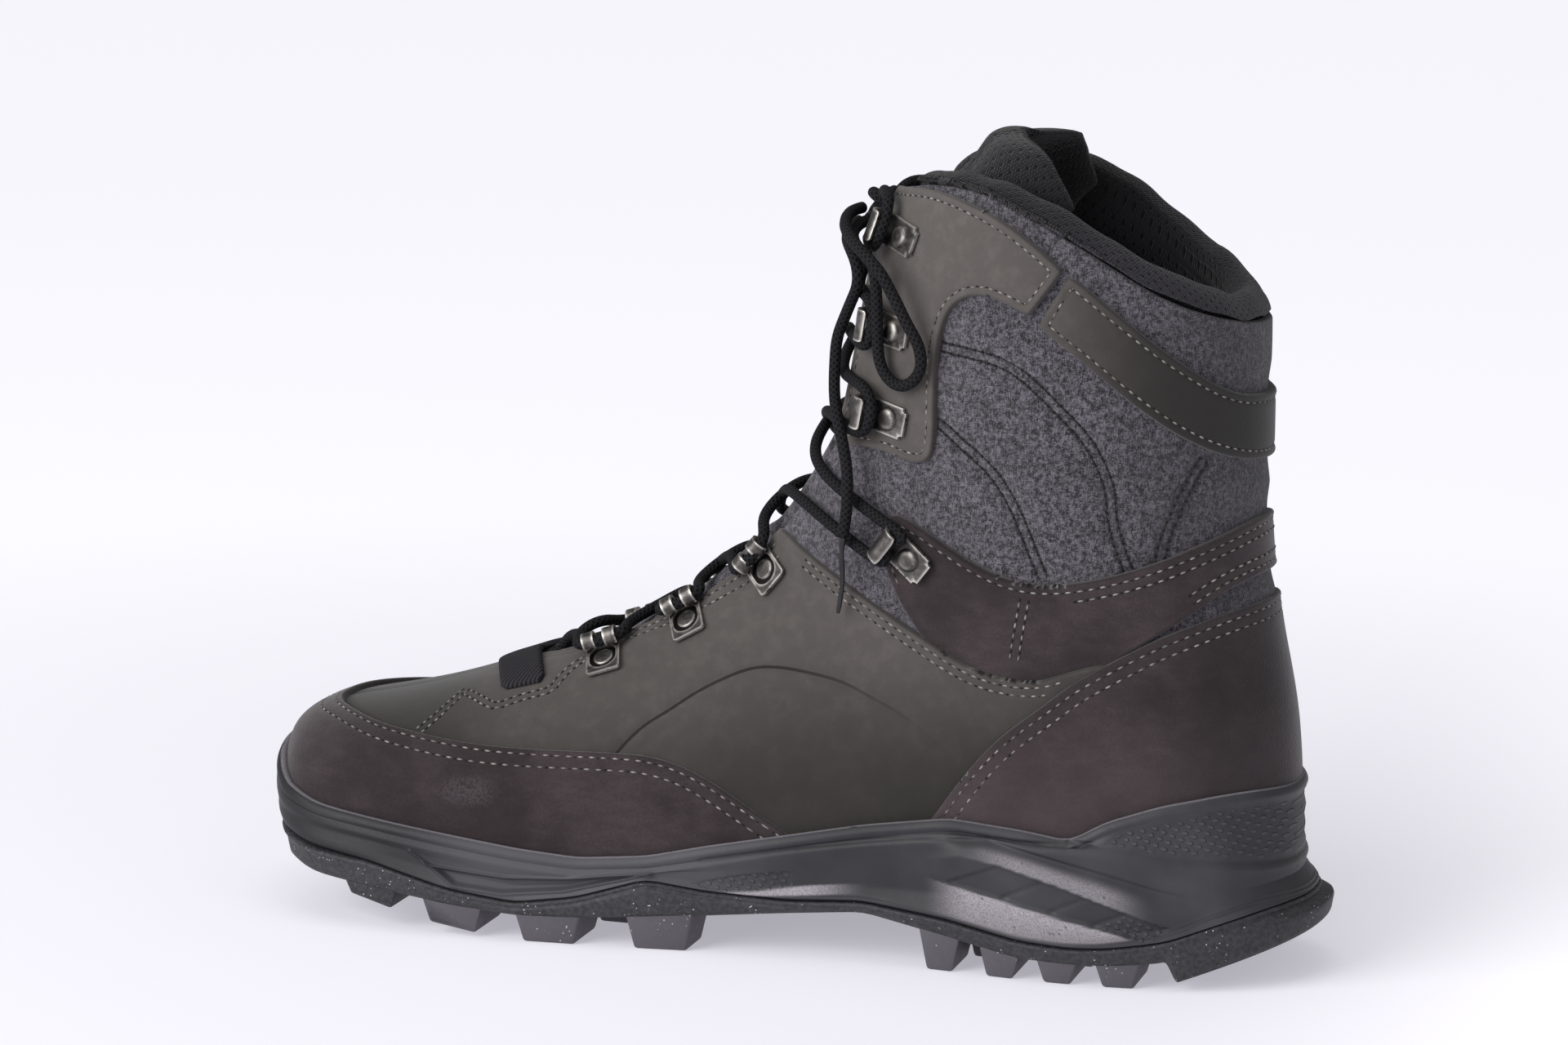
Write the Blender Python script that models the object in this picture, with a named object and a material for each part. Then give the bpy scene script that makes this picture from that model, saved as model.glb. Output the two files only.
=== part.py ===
"""Winter hiking boot, a right boot standing on its sole.

Toe at -X, heel at +X, inner side at -Y, up at +Z. The origin is on the floor under the middle of the sole.
Tables are in millimetres from the middle of the last, and MM turns them into metres.
"""

from collections import namedtuple

import bmesh
import bpy
import numpy as np
from mathutils import Matrix, Vector

MM = 0.001
CENTRE = (4.4, 2.6, 0)
GAP = 0.3
WELD = 0.002

# Thicknesses of the layers of the upper
WALL = 2.6
VAMP_STEP = 1.2
OVERLAY = 1.2
TONGUE_THICK = 5.0

# The last: a row for each section, from the toe round the instep and up the shaft.
# A section runs from its base point to its ridge point, and waist is where along it the section is widest.
Section = namedtuple(
    "Section", "top_x top_z base_x base_z wide_in wide_out waist top_round base_round middle")
SECTIONS = [
    Section(-141.6, 41.5, -137.0, 24.0, 0.0, 0.0, 0.48, 2.2, 3.0, -9.0),
    Section(-140.6, 46.4, -136.3, 21.0, 13.2, 14.2, 0.46, 2.3, 3.0, -9.0),
    Section(-137.4, 51.0, -133.6, 18.0, 23.5, 26.0, 0.44, 2.4, 3.0, -8.6),
    Section(-130.2, 55.0, -127.8, 15.0, 32.0, 37.0, 0.41, 2.5, 3.0, -7.6),
    Section(-118.3, 57.6, -117.2, 12.5, 38.5, 45.0, 0.38, 2.5, 3.0, -5.8),
    Section(-102.5, 61.2, -102.5, 10.5, 42.5, 49.5, 0.36, 2.4, 3.0, -3.6),
    Section(-85.0, 66.8, -84.0, 9.5, 44.8, 51.8, 0.33, 2.25, 3.0, -1.6),
    Section(-67.0, 73.4, -62.0, 9.0, 45.0, 51.5, 0.31, 2.1, 3.0, 0.0),
    Section(-52.0, 79.4, -37.0, 10.0, 43.5, 49.5, 0.29, 2.0, 3.0, 0.8),
    Section(-40.0, 85.4, -7.0, 12.0, 41.0, 46.5, 0.28, 1.95, 3.0, 1.2),
    Section(-30.0, 92.0, 28.0, 15.0, 38.5, 43.5, 0.28, 1.92, 3.0, 1.2),
    Section(-21.0, 99.5, 68.0, 18.0, 36.8, 41.0, 0.30, 1.92, 3.0, 1.0),
    Section(-13.2, 107.2, 115.0, 20.0, 36.2, 39.5, 0.34, 1.95, 2.8, 0.6),
    Section(-6.0, 115.4, 138.6, 37.0, 36.2, 38.4, 0.40, 2.05, 2.4, 0.3),
    Section(0.6, 124.5, 140.6, 61.0, 36.6, 38.0, 0.45, 2.1, 2.2, 0.2),
    Section(6.2, 134.0, 137.6, 84.0, 37.2, 38.0, 0.48, 2.2, 2.1, 0.0),
    Section(11.2, 144.0, 134.2, 104.0, 38.0, 38.4, 0.50, 2.2, 2.1, 0.0),
    Section(14.8, 155.0, 132.0, 122.0, 38.8, 39.0, 0.50, 2.2, 2.1, 0.0),
    Section(17.6, 168.0, 131.4, 138.0, 39.6, 39.6, 0.50, 2.2, 2.1, 0.0),
    Section(20.2, 182.0, 131.0, 153.0, 40.3, 40.3, 0.50, 2.2, 2.1, 0.0),
    Section(23.4, 196.0, 130.6, 166.5, 40.8, 40.8, 0.50, 2.2, 2.1, 0.0),
    Section(28.4, 208.0, 130.2, 179.0, 41.0, 41.0, 0.50, 2.2, 2.1, 0.0),
    Section(35.6, 219.0, 129.8, 190.0, 40.8, 40.8, 0.50, 2.2, 2.1, 0.0),
    Section(44.0, 230.0, 129.5, 201.0, 40.4, 40.4, 0.50, 2.2, 2.1, 0.0),
]
LAST_SECTION = len(SECTIONS) - 1
MIRRORED_ROWS = 3
TIP_SECTION = 0.05

# The vamp ends on this section, and its edge climbs towards the heel.
VAMP_EDGE = 13.2
VAMP_CLIMB = 1.3
VAMP_CLIMB_FROM, VAMP_CLIMB_TO = 0.40, 0.66

# Side-view lines: a row for each point
SidePoint = namedtuple("SidePoint", "x z")
COLLAR = [
    SidePoint(22, 207), SidePoint(39, 212), SidePoint(51, 212.6), SidePoint(62, 210.8),
    SidePoint(75, 205), SidePoint(88, 198), SidePoint(100, 190.6), SidePoint(111, 184),
    SidePoint(126, 178.5), SidePoint(138, 176.5),
]
PAN = [
    SidePoint(-160, 28), SidePoint(-120, 24), SidePoint(-80, 20), SidePoint(-40, 19),
    SidePoint(0, 22), SidePoint(40, 28), SidePoint(80, 33), SidePoint(160, 36),
]

# The sole: heights and outward offsets of the lines of its side, by the x of the upper's foot
Side = namedtuple(
    "Side", "x rim band_top band_low crease parting root out_rim out_band out_crease out_parting out_root")
SIDES = [
    Side(-138.5, 44.0, 40.5, 36.0, 32.0, 28.0, 19.5, 6.9, 7.3, 6.5, 5.6, 3.6),
    Side(-134.5, 37.4, 34.4, 30.8, 27.7, 25.0, 17.0, 6.0, 6.9, 6.6, 6.2, 4.6),
    Side(-123, 33.8, 31.0, 28.0, 24.5, 21.5, 14.0, 5.2, 6.4, 6.4, 6.8, 5.2),
    Side(-105, 31.5, 28.6, 25.2, 22.5, 19.5, 12.0, 5.2, 6.2, 6.0, 6.6, 5.5),
    Side(-83, 28.8, 25.5, 21.5, 18.0, 13.8, 9.2, 5.2, 6.2, 5.0, 6.6, 6.0),
    Side(-64, 26.3, 23.0, 18.5, 15.5, 11.4, 7.6, 5.2, 6.2, 4.8, 6.6, 6.2),
    Side(-47, 24.9, 21.7, 18.8, 17.0, 14.0, 8.0, 5.2, 6.2, 4.8, 6.4, 6.2),
    Side(-28, 26.5, 23.5, 22.2, 21.2, 20.0, 9.5, 5.2, 6.0, 5.0, 5.8, 6.0),
    Side(-12, 30.2, 26.5, 23.0, 20.0, 17.6, 10.6, 5.2, 5.6, 4.4, 4.8, 5.0),
    Side(11, 34.9, 31.5, 26.0, 20.5, 16.4, 12.6, 5.2, 5.4, 3.6, 4.2, 3.6),
    Side(32, 39.3, 35.5, 30.0, 22.0, 17.6, 14.4, 5.2, 5.8, 3.4, 4.0, 3.2),
    Side(56, 43.0, 39.0, 34.5, 22.0, 15.2, 10.0, 5.2, 7.2, 4.2, 6.5, 5.0),
    Side(76, 41.4, 38.2, 33.5, 18.0, 11.4, 6.4, 5.2, 8.0, 4.6, 7.8, 6.8),
    Side(89, 39.6, 38.4, 32.0, 15.5, 10.6, 6.0, 5.4, 8.2, 4.8, 8.2, 7.2),
    Side(98, 45.3, 38.2, 30.5, 14.6, 11.0, 6.2, 5.4, 8.2, 5.0, 8.2, 7.4),
    Side(112, 50.4, 36.8, 28.0, 16.0, 13.4, 7.6, 5.6, 8.2, 5.6, 8.4, 7.8),
    Side(126, 54.5, 35.2, 27.5, 20.5, 19.0, 12.0, 5.6, 8.3, 7.4, 9.0, 9.4),
    Side(134, 55.6, 34.0, 28.0, 24.0, 22.0, 15.0, 5.6, 7.8, 8.4, 9.6, 11.6),
    Side(140.6, 55.0, 33.3, 28.8, 25.5, 23.6, 16.5, 5.6, 7.2, 9.2, 10.0, 13.4),
]
STATIONS = 27
SLICE_LOW, SLICE_HIGH = 30.0, 44.0
SLICE_FROM, SLICE_TO = -20.0, 70.0
LIP_DROP, LIP_OUT, GROOVE_DROP = 2.2, 0.7, 3.6
INSOLE_THICK = 4.0

# Lugs: a row each, from the edge inwards; side 1 is the inner edge, -1 the outer, 0 the middle
Lug = namedtuple("Lug", "side x0 x1 y0 y1")
LUGS = [Lug(side, x0, x1, 28, 70) for side in (1, -1) for x0, x1 in
        ((-114, -99), (-90, -74), (-63, -46), (-32, -15))]
LUGS += [Lug(side, x0, x1, 20, 60) for side in (1, -1) for x0, x1 in
         ((49, 59), (66, 76), (82, 92), (98, 109))]
LUGS += [Lug(side, x0, x1, 4, 22) for side in (1, -1) for x0, x1 in
         ((-130, -116), (-102, -88), (-77, -63), (-50, -36), (58, 70), (82, 94))]
LUGS += [Lug(0, 119, 160, -60, 60)]
LUG_TAPER = 2.0
LUG_BITE = 2.5
TREAD = [
    SidePoint(-150, 18), SidePoint(-128, 12.8), SidePoint(-113, 9), SidePoint(-101, 6), SidePoint(-90, 3.6),
    SidePoint(-75, 1.2), SidePoint(-64, 0), SidePoint(110, 0), SidePoint(119, 2.6), SidePoint(160, 17.8),
]

# Side-view outlines of the panels laid on the upper
TOE_RAND = [
    SidePoint(-128.5, 57), SidePoint(-122, 56.6), SidePoint(-114, 55.4), SidePoint(-104, 53.3),
    SidePoint(-90, 52.2), SidePoint(-75, 51.5), SidePoint(-57, 51.8), SidePoint(-39, 52.3),
    SidePoint(-29, 52.0), SidePoint(-19, 49.8), SidePoint(-8, 45), SidePoint(2, 39.4),
    SidePoint(13, 33), SidePoint(21, 27.8),
]
HEEL_COUNTER = [
    SidePoint(42, 30.4), SidePoint(51, 42.5), SidePoint(57, 51.4), SidePoint(64.5, 61), SidePoint(72, 68.4),
    SidePoint(80, 75), SidePoint(87, 80.9), SidePoint(94.6, 86), SidePoint(106, 92.7), SidePoint(116, 97.2),
    SidePoint(126, 101), SidePoint(138, 104), SidePoint(152, 105.5),
]
ANKLE_TOP = [
    SidePoint(36, 124), SidePoint(42, 122), SidePoint(50, 117.8), SidePoint(61.5, 111.4),
    SidePoint(73.5, 107.6), SidePoint(87, 108.3), SidePoint(105.5, 113.4), SidePoint(121, 120.4),
    SidePoint(133, 126.4), SidePoint(146, 131),
]
ANKLE_LOW = [
    SidePoint(146, 112), SidePoint(134, 111), SidePoint(125, 107), SidePoint(116, 99.5),
    SidePoint(106, 94.2), SidePoint(94, 87.8), SidePoint(84, 84.5), SidePoint(74, 83.5),
    SidePoint(63, 84.4), SidePoint(54, 88), SidePoint(44, 93.5), SidePoint(37, 102),
    SidePoint(33.5, 110), SidePoint(33.5, 118),
]
EYESTAY = [
    SidePoint(10, 140), SidePoint(31, 141), SidePoint(40, 138.2), SidePoint(46, 138),
    SidePoint(48.8, 142), SidePoint(48.5, 160), SidePoint(48.6, 168), SidePoint(50.5, 177),
    SidePoint(54, 182.4), SidePoint(60, 185), SidePoint(67, 183.5), SidePoint(75, 180.4),
    SidePoint(81.5, 189.6), SidePoint(82.6, 193), SidePoint(75, 199), SidePoint(66, 204.8),
    SidePoint(54, 209.3), SidePoint(44, 211), SidePoint(34, 209.8), SidePoint(10, 208),
]
CUFF_BAND = [
    SidePoint(77, 178.5), SidePoint(83.6, 191.6), SidePoint(92.3, 185.5), SidePoint(100.3, 178.9),
    SidePoint(108.3, 172.1), SidePoint(116, 166.2), SidePoint(123, 161), SidePoint(130, 158),
    SidePoint(145, 156.5), SidePoint(145, 139.5), SidePoint(133, 140.3), SidePoint(127, 141.7),
    SidePoint(120, 144.8), SidePoint(112.6, 149.2), SidePoint(104.8, 154.8), SidePoint(96.8, 161.3),
    SidePoint(88.6, 168.8), SidePoint(81, 174.8),
]
FLAT_REACH = 90
PANEL_RISE = 1.4

# The throat: half its width by section
Throat = namedtuple("Throat", "u half")
THROATS = [
    Throat(6.7, 5.5), Throat(7.1, 9.0), Throat(8.0, 10.5), Throat(10.0, 10.5), Throat(12.0, 11.0),
    Throat(14.0, 14.5), Throat(16.0, 18.0), Throat(18.0, 17.5), Throat(20.0, 16.5), Throat(22.9, 15.0),
]
THROAT_DEEP, THROAT_HIGH = 9.0, 24.0

# The tongue: how far round it reaches, by section
Tongue = namedtuple("Tongue", "u reach")
TONGUES = [
    Tongue(6.2, 0.10), Tongue(7.5, 0.19), Tongue(10.0, 0.21), Tongue(13.0, 0.24), Tongue(17.0, 0.29),
    Tongue(20.0, 0.34), Tongue(23.0, 0.40),
]
TONGUE_FOOT, TONGUE_CROWN, TONGUE_DROP = 6.2, 22.95, 1.5
TONGUE_BULGE = 2.2
TONGUE_STEP_FROM, TONGUE_STEP_TO, TONGUE_STEP = 18.8, 20.3, 6.6

# The padded roll on the collar: a cross-section, out from the upper and up from its edge
PadPoint = namedtuple("PadPoint", "out up")
PAD = [
    PadPoint(0.9, 1.0), PadPoint(1.2, 3.2), PadPoint(-0.6, 6.2), PadPoint(-3.6, 7.6),
    PadPoint(-6.8, 6.4), PadPoint(-8.4, 3.2), PadPoint(-8.4, -6.0), PadPoint(-6.6, -10.0),
    PadPoint(-3.7, -11.0), PadPoint(-3.7, 1.0),
]
PAD_FRONT, PAD_BACK = 2, 24

# Riveted hardware: where each plate sits on the upper
Plate = namedtuple("Plate", "name u v over")
PLATES = [
    Plate("lace_ring_1", 8.15, 0.158, VAMP_STEP),
    Plate("lace_ring_2", 10.0, 0.142, VAMP_STEP + 0.2),
    Plate("lace_ring_3", 12.15, 0.146, VAMP_STEP + 0.45),
    Plate("ankle_hook", 14.45, 0.352, OVERLAY + GAP + 0.9),
    Plate("shaft_hook_1", 17.0, 0.285, OVERLAY + GAP),
    Plate("shaft_hook_2", 18.65, 0.262, OVERLAY + GAP),
    Plate("shaft_hook_3", 20.4, 0.235, OVERLAY + GAP),
]
Curl = namedtuple("Curl", "plate_long plate_wide thick radius turn steps")
RING_CURL = Curl(10.0, 9.0, 1.0, 3.1, 300, 8)
HOOK_CURL = Curl(12.0, 8.6, 1.0, 3.1, 205, 6)
RIVET_RADIUS, RIVET_HIGH, RIVET_SIDES = 3.3, 1.2, 9

# The woven strap over the foot of the throat
STRAP_ROWS = [6.2, 6.55, 6.88]
STRAP_REACH = [-0.185, -2 / 13, -1 / 13, 0.0, 1 / 13, 2 / 13, 0.185]
STRAP_THICK = 1.1

# The lace: its start under the strap, its way from the top hook to the knot, and the bow
LACE_RADIUS = 1.6
LACE_OVER = {0.25: 3.9, 0.5: 2.0, 0.75: 3.9}
LACE_REACH = 0.85
LACE_SIDES = 2
LACE_STEP = 14.0
LacePoint = namedtuple("LacePoint", "u v out")
LACE_START = [
    LacePoint(6.78, -0.012, -0.6), LacePoint(6.8, 0.012, -0.6), LacePoint(6.98, 0.026, -0.3),
    LacePoint(7.26, 0.046, 3.1), LacePoint(7.56, 0.078, 4.1),
]
LACE_STOP = [LacePoint(21.0, 0.15, 4.6), LacePoint(20.95, 0.1, 3.6), LacePoint(20.82, 0.066, 2.8)]
KNOT_SECTION, KNOT_OVER = 20.45, 2.5
KNOT_SIZE = (5.4, 8.9, 6.4)
LOOP = [
    LacePoint(20.28, 0.066, 3.0), LacePoint(20.16, 0.1, 6.0), LacePoint(20.03, 0.14, 8.4),
    LacePoint(19.93, 0.19, 9.6), LacePoint(19.79, 0.232, 9.2), LacePoint(19.47, 0.243, 8.0),
    LacePoint(19.18, 0.247, 7.2), LacePoint(18.77, 0.252, 6.5), LacePoint(18.36, 0.257, 5.8),
    LacePoint(18.07, 0.265, 5.2), LacePoint(17.86, 0.278, 4.6), LacePoint(17.77, 0.296, 4.3),
    LacePoint(17.83, 0.312, 4.3), LacePoint(18.02, 0.327, 4.4), LacePoint(18.29, 0.335, 4.7),
    LacePoint(18.55, 0.334, 5.2), LacePoint(18.77, 0.326, 6.0), LacePoint(19.02, 0.311, 7.2),
    LacePoint(19.3, 0.295, 8.4), LacePoint(19.56, 0.279, 9.8), LacePoint(19.79, 0.262, 11.4),
    LacePoint(20.0, 0.22, 12.8), LacePoint(20.15, 0.165, 12.4), LacePoint(20.3, 0.11, 10.0),
    LacePoint(20.4, 0.066, 6.8),
]
END = [
    LacePoint(20.1, 0.04, 6.6), LacePoint(19.98, 0.08, 8.0), LacePoint(19.85, 0.13, 8.8),
    LacePoint(19.66, 0.18, 8.6), LacePoint(19.31, 0.195, 7.8), LacePoint(18.92, 0.178, 7.0),
    LacePoint(18.54, 0.16, 6.8), LacePoint(18.22, 0.153, 7.2), LacePoint(17.95, 0.153, 7.3),
    LacePoint(17.66, 0.159, 7.2), LacePoint(17.23, 0.171, 7.0), LacePoint(16.9, 0.188, 7.2),
    LacePoint(16.68, 0.206, 7.8), LacePoint(16.4, 0.223, 8.0), LacePoint(16.09, 0.238, 7.9),
    LacePoint(15.79, 0.252, 8.1), LacePoint(15.5, 0.263, 8.5), LacePoint(15.16, 0.27, 8.8),
    LacePoint(14.86, 0.273, 8.8), LacePoint(14.55, 0.274, 9.0), LacePoint(14.22, 0.274, 9.1),
    LacePoint(13.87, 0.274, 8.5), LacePoint(13.36, 0.274, 6.3), LacePoint(12.83, 0.275, 4.8),
    LacePoint(12.7, 0.276, 4.6),
]

# Colours are linear, and each finish is colour, roughness and metallic value.
Finish = namedtuple("Finish", "colour rough metal")
FINISHES = {
    "wool": Finish((0.088, 0.090, 0.104), 0.95, 0.0),
    "suede": Finish((0.046, 0.034, 0.034), 0.92, 0.0),
    "nubuck": Finish((0.064, 0.061, 0.054), 0.85, 0.0),
    "mesh": Finish((0.010, 0.010, 0.011), 0.9, 0.0),
    "sole": Finish((0.040, 0.043, 0.046), 0.55, 0.0),
    "tread": Finish((0.022, 0.022, 0.024), 0.65, 0.0),
    "gunmetal": Finish((0.20, 0.19, 0.18), 0.35, 0.9),
    "cord": Finish((0.008, 0.008, 0.009), 0.8, 0.0),
}


def smooth_step(low, high, value):
    share = np.clip((np.asarray(value, float) - low) / (high - low), 0, 1)
    return share * share * (3 - 2 * share)


def spline(values, before=()):
    """A cubic spline through one column of a table, with more values before its first row."""
    knots = np.concatenate([before, np.asarray(values, float)])
    count, first = len(knots), len(before)
    system = np.eye(count)
    bend = np.zeros(count)
    for i in range(1, count - 1):
        system[i, i - 1:i + 2] = 1 / 6, 2 / 3, 1 / 6
        bend[i] = knots[i - 1] - 2 * knots[i] + knots[i + 1]
    second = np.linalg.solve(system, bend)

    def at(t):
        t = np.clip(np.asarray(t, float) + first, 0, count - 1)
        i = np.minimum(t.astype(int), count - 2)
        s = t - i
        r = 1 - s
        straight = r * knots[i] + s * knots[i + 1]
        return straight + (r ** 3 - r) * second[i] / 6 + (s ** 3 - s) * second[i + 1] / 6

    return at


def section_spline(name):
    """A column of the last's table, mirrored past the toe so that the toe closes round."""
    values = np.array([getattr(row, name) for row in SECTIONS])
    return spline(values, values[MIRRORED_ROWS:0:-1] * (-1 if name.startswith("wide") else 1))


SECTION_AT = {name: section_spline(name) for name in Section._fields}


def column(rows, name, key="x"):
    """One column of a table as a function of its key column."""
    keys = [getattr(row, key) for row in rows]
    values = [getattr(row, name) for row in rows]
    return lambda at: np.interp(at, keys, values)


collar_height = column(COLLAR, "z")
tread_height = column(TREAD, "z")


def superellipse(angle, power):
    c, s = np.abs(np.cos(angle)), np.abs(np.sin(angle))
    reach = (c ** power + s ** power) ** (-1 / power)
    return c * reach, s * reach


def last(u, v):
    """A point of the last: u counts sections from the toe, v runs from the ridge to the base.

    v is 0 on the ridge, 1 on the base by way of the inner side and -1 by way of the outer side.
    """
    u, v = np.broadcast_arrays(np.asarray(u, float), np.asarray(v, float))
    v = (v + 1) % 2 - 1
    row = {name: at(u) for name, at in SECTION_AT.items()}
    top_half = np.abs(v) <= 0.5
    turn = np.where(top_half, np.abs(v), 1 - np.abs(v)) * np.pi
    along_top, side_top = superellipse(turn, row["top_round"])
    along_base, side_base = superellipse(turn, row["base_round"])
    waist = row["waist"]
    along = np.where(top_half, waist + (1 - waist) * along_top, waist * (1 - along_base))
    side = np.where(top_half, side_top, side_base) * np.where(v > 0, -row["wide_in"], row["wide_out"])
    x = row["base_x"] + (row["top_x"] - row["base_x"]) * along
    z = row["base_z"] + (row["top_z"] - row["base_z"]) * along
    return np.stack([x, row["middle"] + side, z], -1)


def last_normal(u, v, step=1e-3):
    tip = np.asarray(u, float) <= 0
    u = np.maximum(u, TIP_SECTION)
    along = last(u + step, v) - last(u - step, v)
    around = last(u, v + step) - last(u, v - step)
    out = np.cross(around, along)
    out[..., 1] = np.where(tip, 0, out[..., 1])
    return out / np.linalg.norm(out, axis=-1, keepdims=True)


def vamp_edge(v):
    return VAMP_EDGE + VAMP_CLIMB * smooth_step(VAMP_CLIMB_FROM, VAMP_CLIMB_TO, np.abs(v))


def on_last(u, v, out=0.0):
    return last(u, v) + np.broadcast_to(out, np.shape(u))[..., None] * last_normal(u, v)


def on_upper(u, v, out=0.0):
    """A point of the upper's outer face, or out from it, with the vamp's step."""
    return on_last(u, v, out + VAMP_STEP * (u < vamp_edge(v)))


def solve(function, low, high, rounds=40):
    """Where a falling function crosses zero, for arrays of bounds."""
    low, high = np.array(low, float), np.array(high, float)
    for _ in range(rounds):
        middle = (low + high) / 2
        above = function(middle) > 0
        low = np.where(above, middle, low)
        high = np.where(above, high, middle)
    return (low + high) / 2


def collar_section(v):
    """The section at which the collar cuts the upper."""
    v = np.asarray(v, float)

    def below(u):
        point = last(u, v)
        return collar_height(point[..., 0]) - point[..., 2]

    return solve(below, np.full(v.shape, 18.0), np.full(v.shape, float(LAST_SECTION)))


def upper_section(share, v):
    """The section at a share from toe, 0, over the vamp's edge, 1, to the collar, 2."""
    edge = vamp_edge(v)
    return np.where(share <= 1, share * edge, edge + (share - 1) * (collar_section(v) - edge))


def finish(name):
    material = bpy.data.materials.get(name)
    if material is None:
        look = FINISHES[name]
        material = bpy.data.materials.new(name)
        material.use_nodes = True
        shader = material.node_tree.nodes["Principled BSDF"]
        shader.inputs["Base Color"].default_value = (*look.colour, 1)
        shader.inputs["Roughness"].default_value = look.rough
        shader.inputs["Metallic"].default_value = look.metal
    return material


def add_object(name, mesh, look, helper=False):
    data = bpy.data.meshes.new(name)
    mesh.to_mesh(data)
    mesh.free()
    data.materials.append(finish(look))
    piece = bpy.data.objects.new(name, data)
    bpy.context.scene.collection.objects.link(piece)
    if helper:
        piece.hide_render = True
        piece.display_type = "WIRE"
    else:
        data.shade_smooth()
        data.set_sharp_from_angle(angle=np.radians(35))
    return piece


def mapped_grid(us, vs, place):
    """A grid with a vertex at each pair of the two lists, moved to place(u, v) and welded where it closes."""
    us, vs = np.asarray(us, float), np.asarray(vs, float)
    mesh = bmesh.new()
    bmesh.ops.create_grid(mesh, x_segments=len(vs) - 1, y_segments=len(us) - 1, size=0.5)
    spots = np.array([vert.co for vert in mesh.verts]) + 0.5
    across = np.rint(spots[:, 0] * (len(vs) - 1)).astype(int)
    along = np.rint(spots[:, 1] * (len(us) - 1)).astype(int)
    for vert, point in zip(mesh.verts, place(us[along], vs[across]) * MM):
        vert.co = point
    bmesh.ops.triangulate(mesh, faces=mesh.faces, quad_method="FIXED")
    bmesh.ops.remove_doubles(mesh, verts=mesh.verts, dist=WELD * MM)
    return mesh


def close_outward(mesh):
    bmesh.ops.recalc_face_normals(mesh, faces=mesh.faces)
    if mesh.calc_volume(signed=True) < 0:
        bmesh.ops.reverse_faces(mesh, faces=mesh.faces)
    return mesh


def thicken(piece, thick, outward):
    wall = piece.modifiers.new("wall", "SOLIDIFY")
    wall.thickness = thick * MM
    wall.offset = 1 if outward else -1
    wall.use_even_offset = False


def combine(piece, other, operation):
    cut = piece.modifiers.new(operation.lower(), "BOOLEAN")
    cut.operation = operation
    cut.object = other
    cut.solver = "EXACT"


def side_prism(name, outline, low_y=-FLAT_REACH, high_y=FLAT_REACH):
    """A helper: a side-view outline drawn out across the boot."""
    mesh = bmesh.new()
    corners = [mesh.verts.new(Vector((point.x, low_y, point.z)) * MM) for point in outline]
    face = mesh.faces.new(corners)
    grown = bmesh.ops.extrude_face_region(mesh, geom=[face])["geom"]
    moved = [item for item in grown if isinstance(item, bmesh.types.BMVert)]
    bmesh.ops.translate(mesh, verts=moved, vec=(0, (high_y - low_y) * MM, 0))
    bmesh.ops.triangulate(mesh, faces=[f for f in mesh.faces if len(f.verts) > 4])
    return add_object(name, close_outward(mesh), "sole", helper=True)


def side_curve(points, count):
    """More points along a smooth line through side-view points."""
    columns = [spline([getattr(p, name) for p in points]) for name in SidePoint._fields]
    steps = np.linspace(0, len(points) - 1, count)
    return [SidePoint(*spot) for spot in np.stack([at(steps) for at in columns], -1)]


# Upper

VAMP_ROWS = np.array([0, 0.4, 1.0, 1.8, 2.8, 4.0, 5.3, 6.6, 8.0, 9.5, 11.0, 12.2]) / VAMP_EDGE
SHAFT_ROWS = np.linspace(1, 2, 9)[1:]
UPPER_ROWS = np.concatenate([VAMP_ROWS, [0.998, 1.002], SHAFT_ROWS])
AROUND_HALF = 13


def around(low, high):
    """Places round the boot, from the ridge by the inner side and the base back to the ridge."""
    return np.arange(low, high + 1, dtype=float) / AROUND_HALF


def upper_place(out):
    return lambda row, v: on_upper(upper_section(row, (v + 1) % 2 - 1), v, out)


def make_upper(throat):
    upper = add_object("upper", mapped_grid(UPPER_ROWS, around(-13, 13), upper_place(0)), "wool")
    thicken(upper, WALL, outward=False)
    floor = [SidePoint(-200, -20)] + [SidePoint(p.x, p.z + 3 * GAP) for p in PAN] + [SidePoint(200, -20)]
    combine(upper, side_prism("upper_floor_cut", floor), "DIFFERENCE")
    combine(upper, throat, "DIFFERENCE")
    return upper


def throat_cut():
    half = column(THROATS, "half", "u")
    us = np.linspace(THROATS[0].u, THROATS[-1].u, 22)

    def place(u, v):
        ridge = on_last(u, np.zeros_like(u), -THROAT_DEEP)
        ridge[..., 1] += v * half(u)
        return ridge

    piece = add_object("throat_cut", mapped_grid(us, [1, -1], place), "wool", helper=True)
    thicken(piece, THROAT_HIGH, outward=True)
    return piece


def make_overlay(name, look, outline, rows, vs, side=0):
    """A panel of one thickness on the upper, cut to a side-view outline."""
    panel = add_object(name, mapped_grid(rows, vs, upper_place(GAP)), look)
    thicken(panel, OVERLAY, outward=True)
    low_y = {0: -FLAT_REACH, 1: -FLAT_REACH, -1: 0}[side]
    high_y = {0: FLAT_REACH, 1: 0, -1: FLAT_REACH}[side]
    combine(panel, side_prism(name + "_cut", outline, low_y, high_y), "INTERSECT")
    return panel


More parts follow.
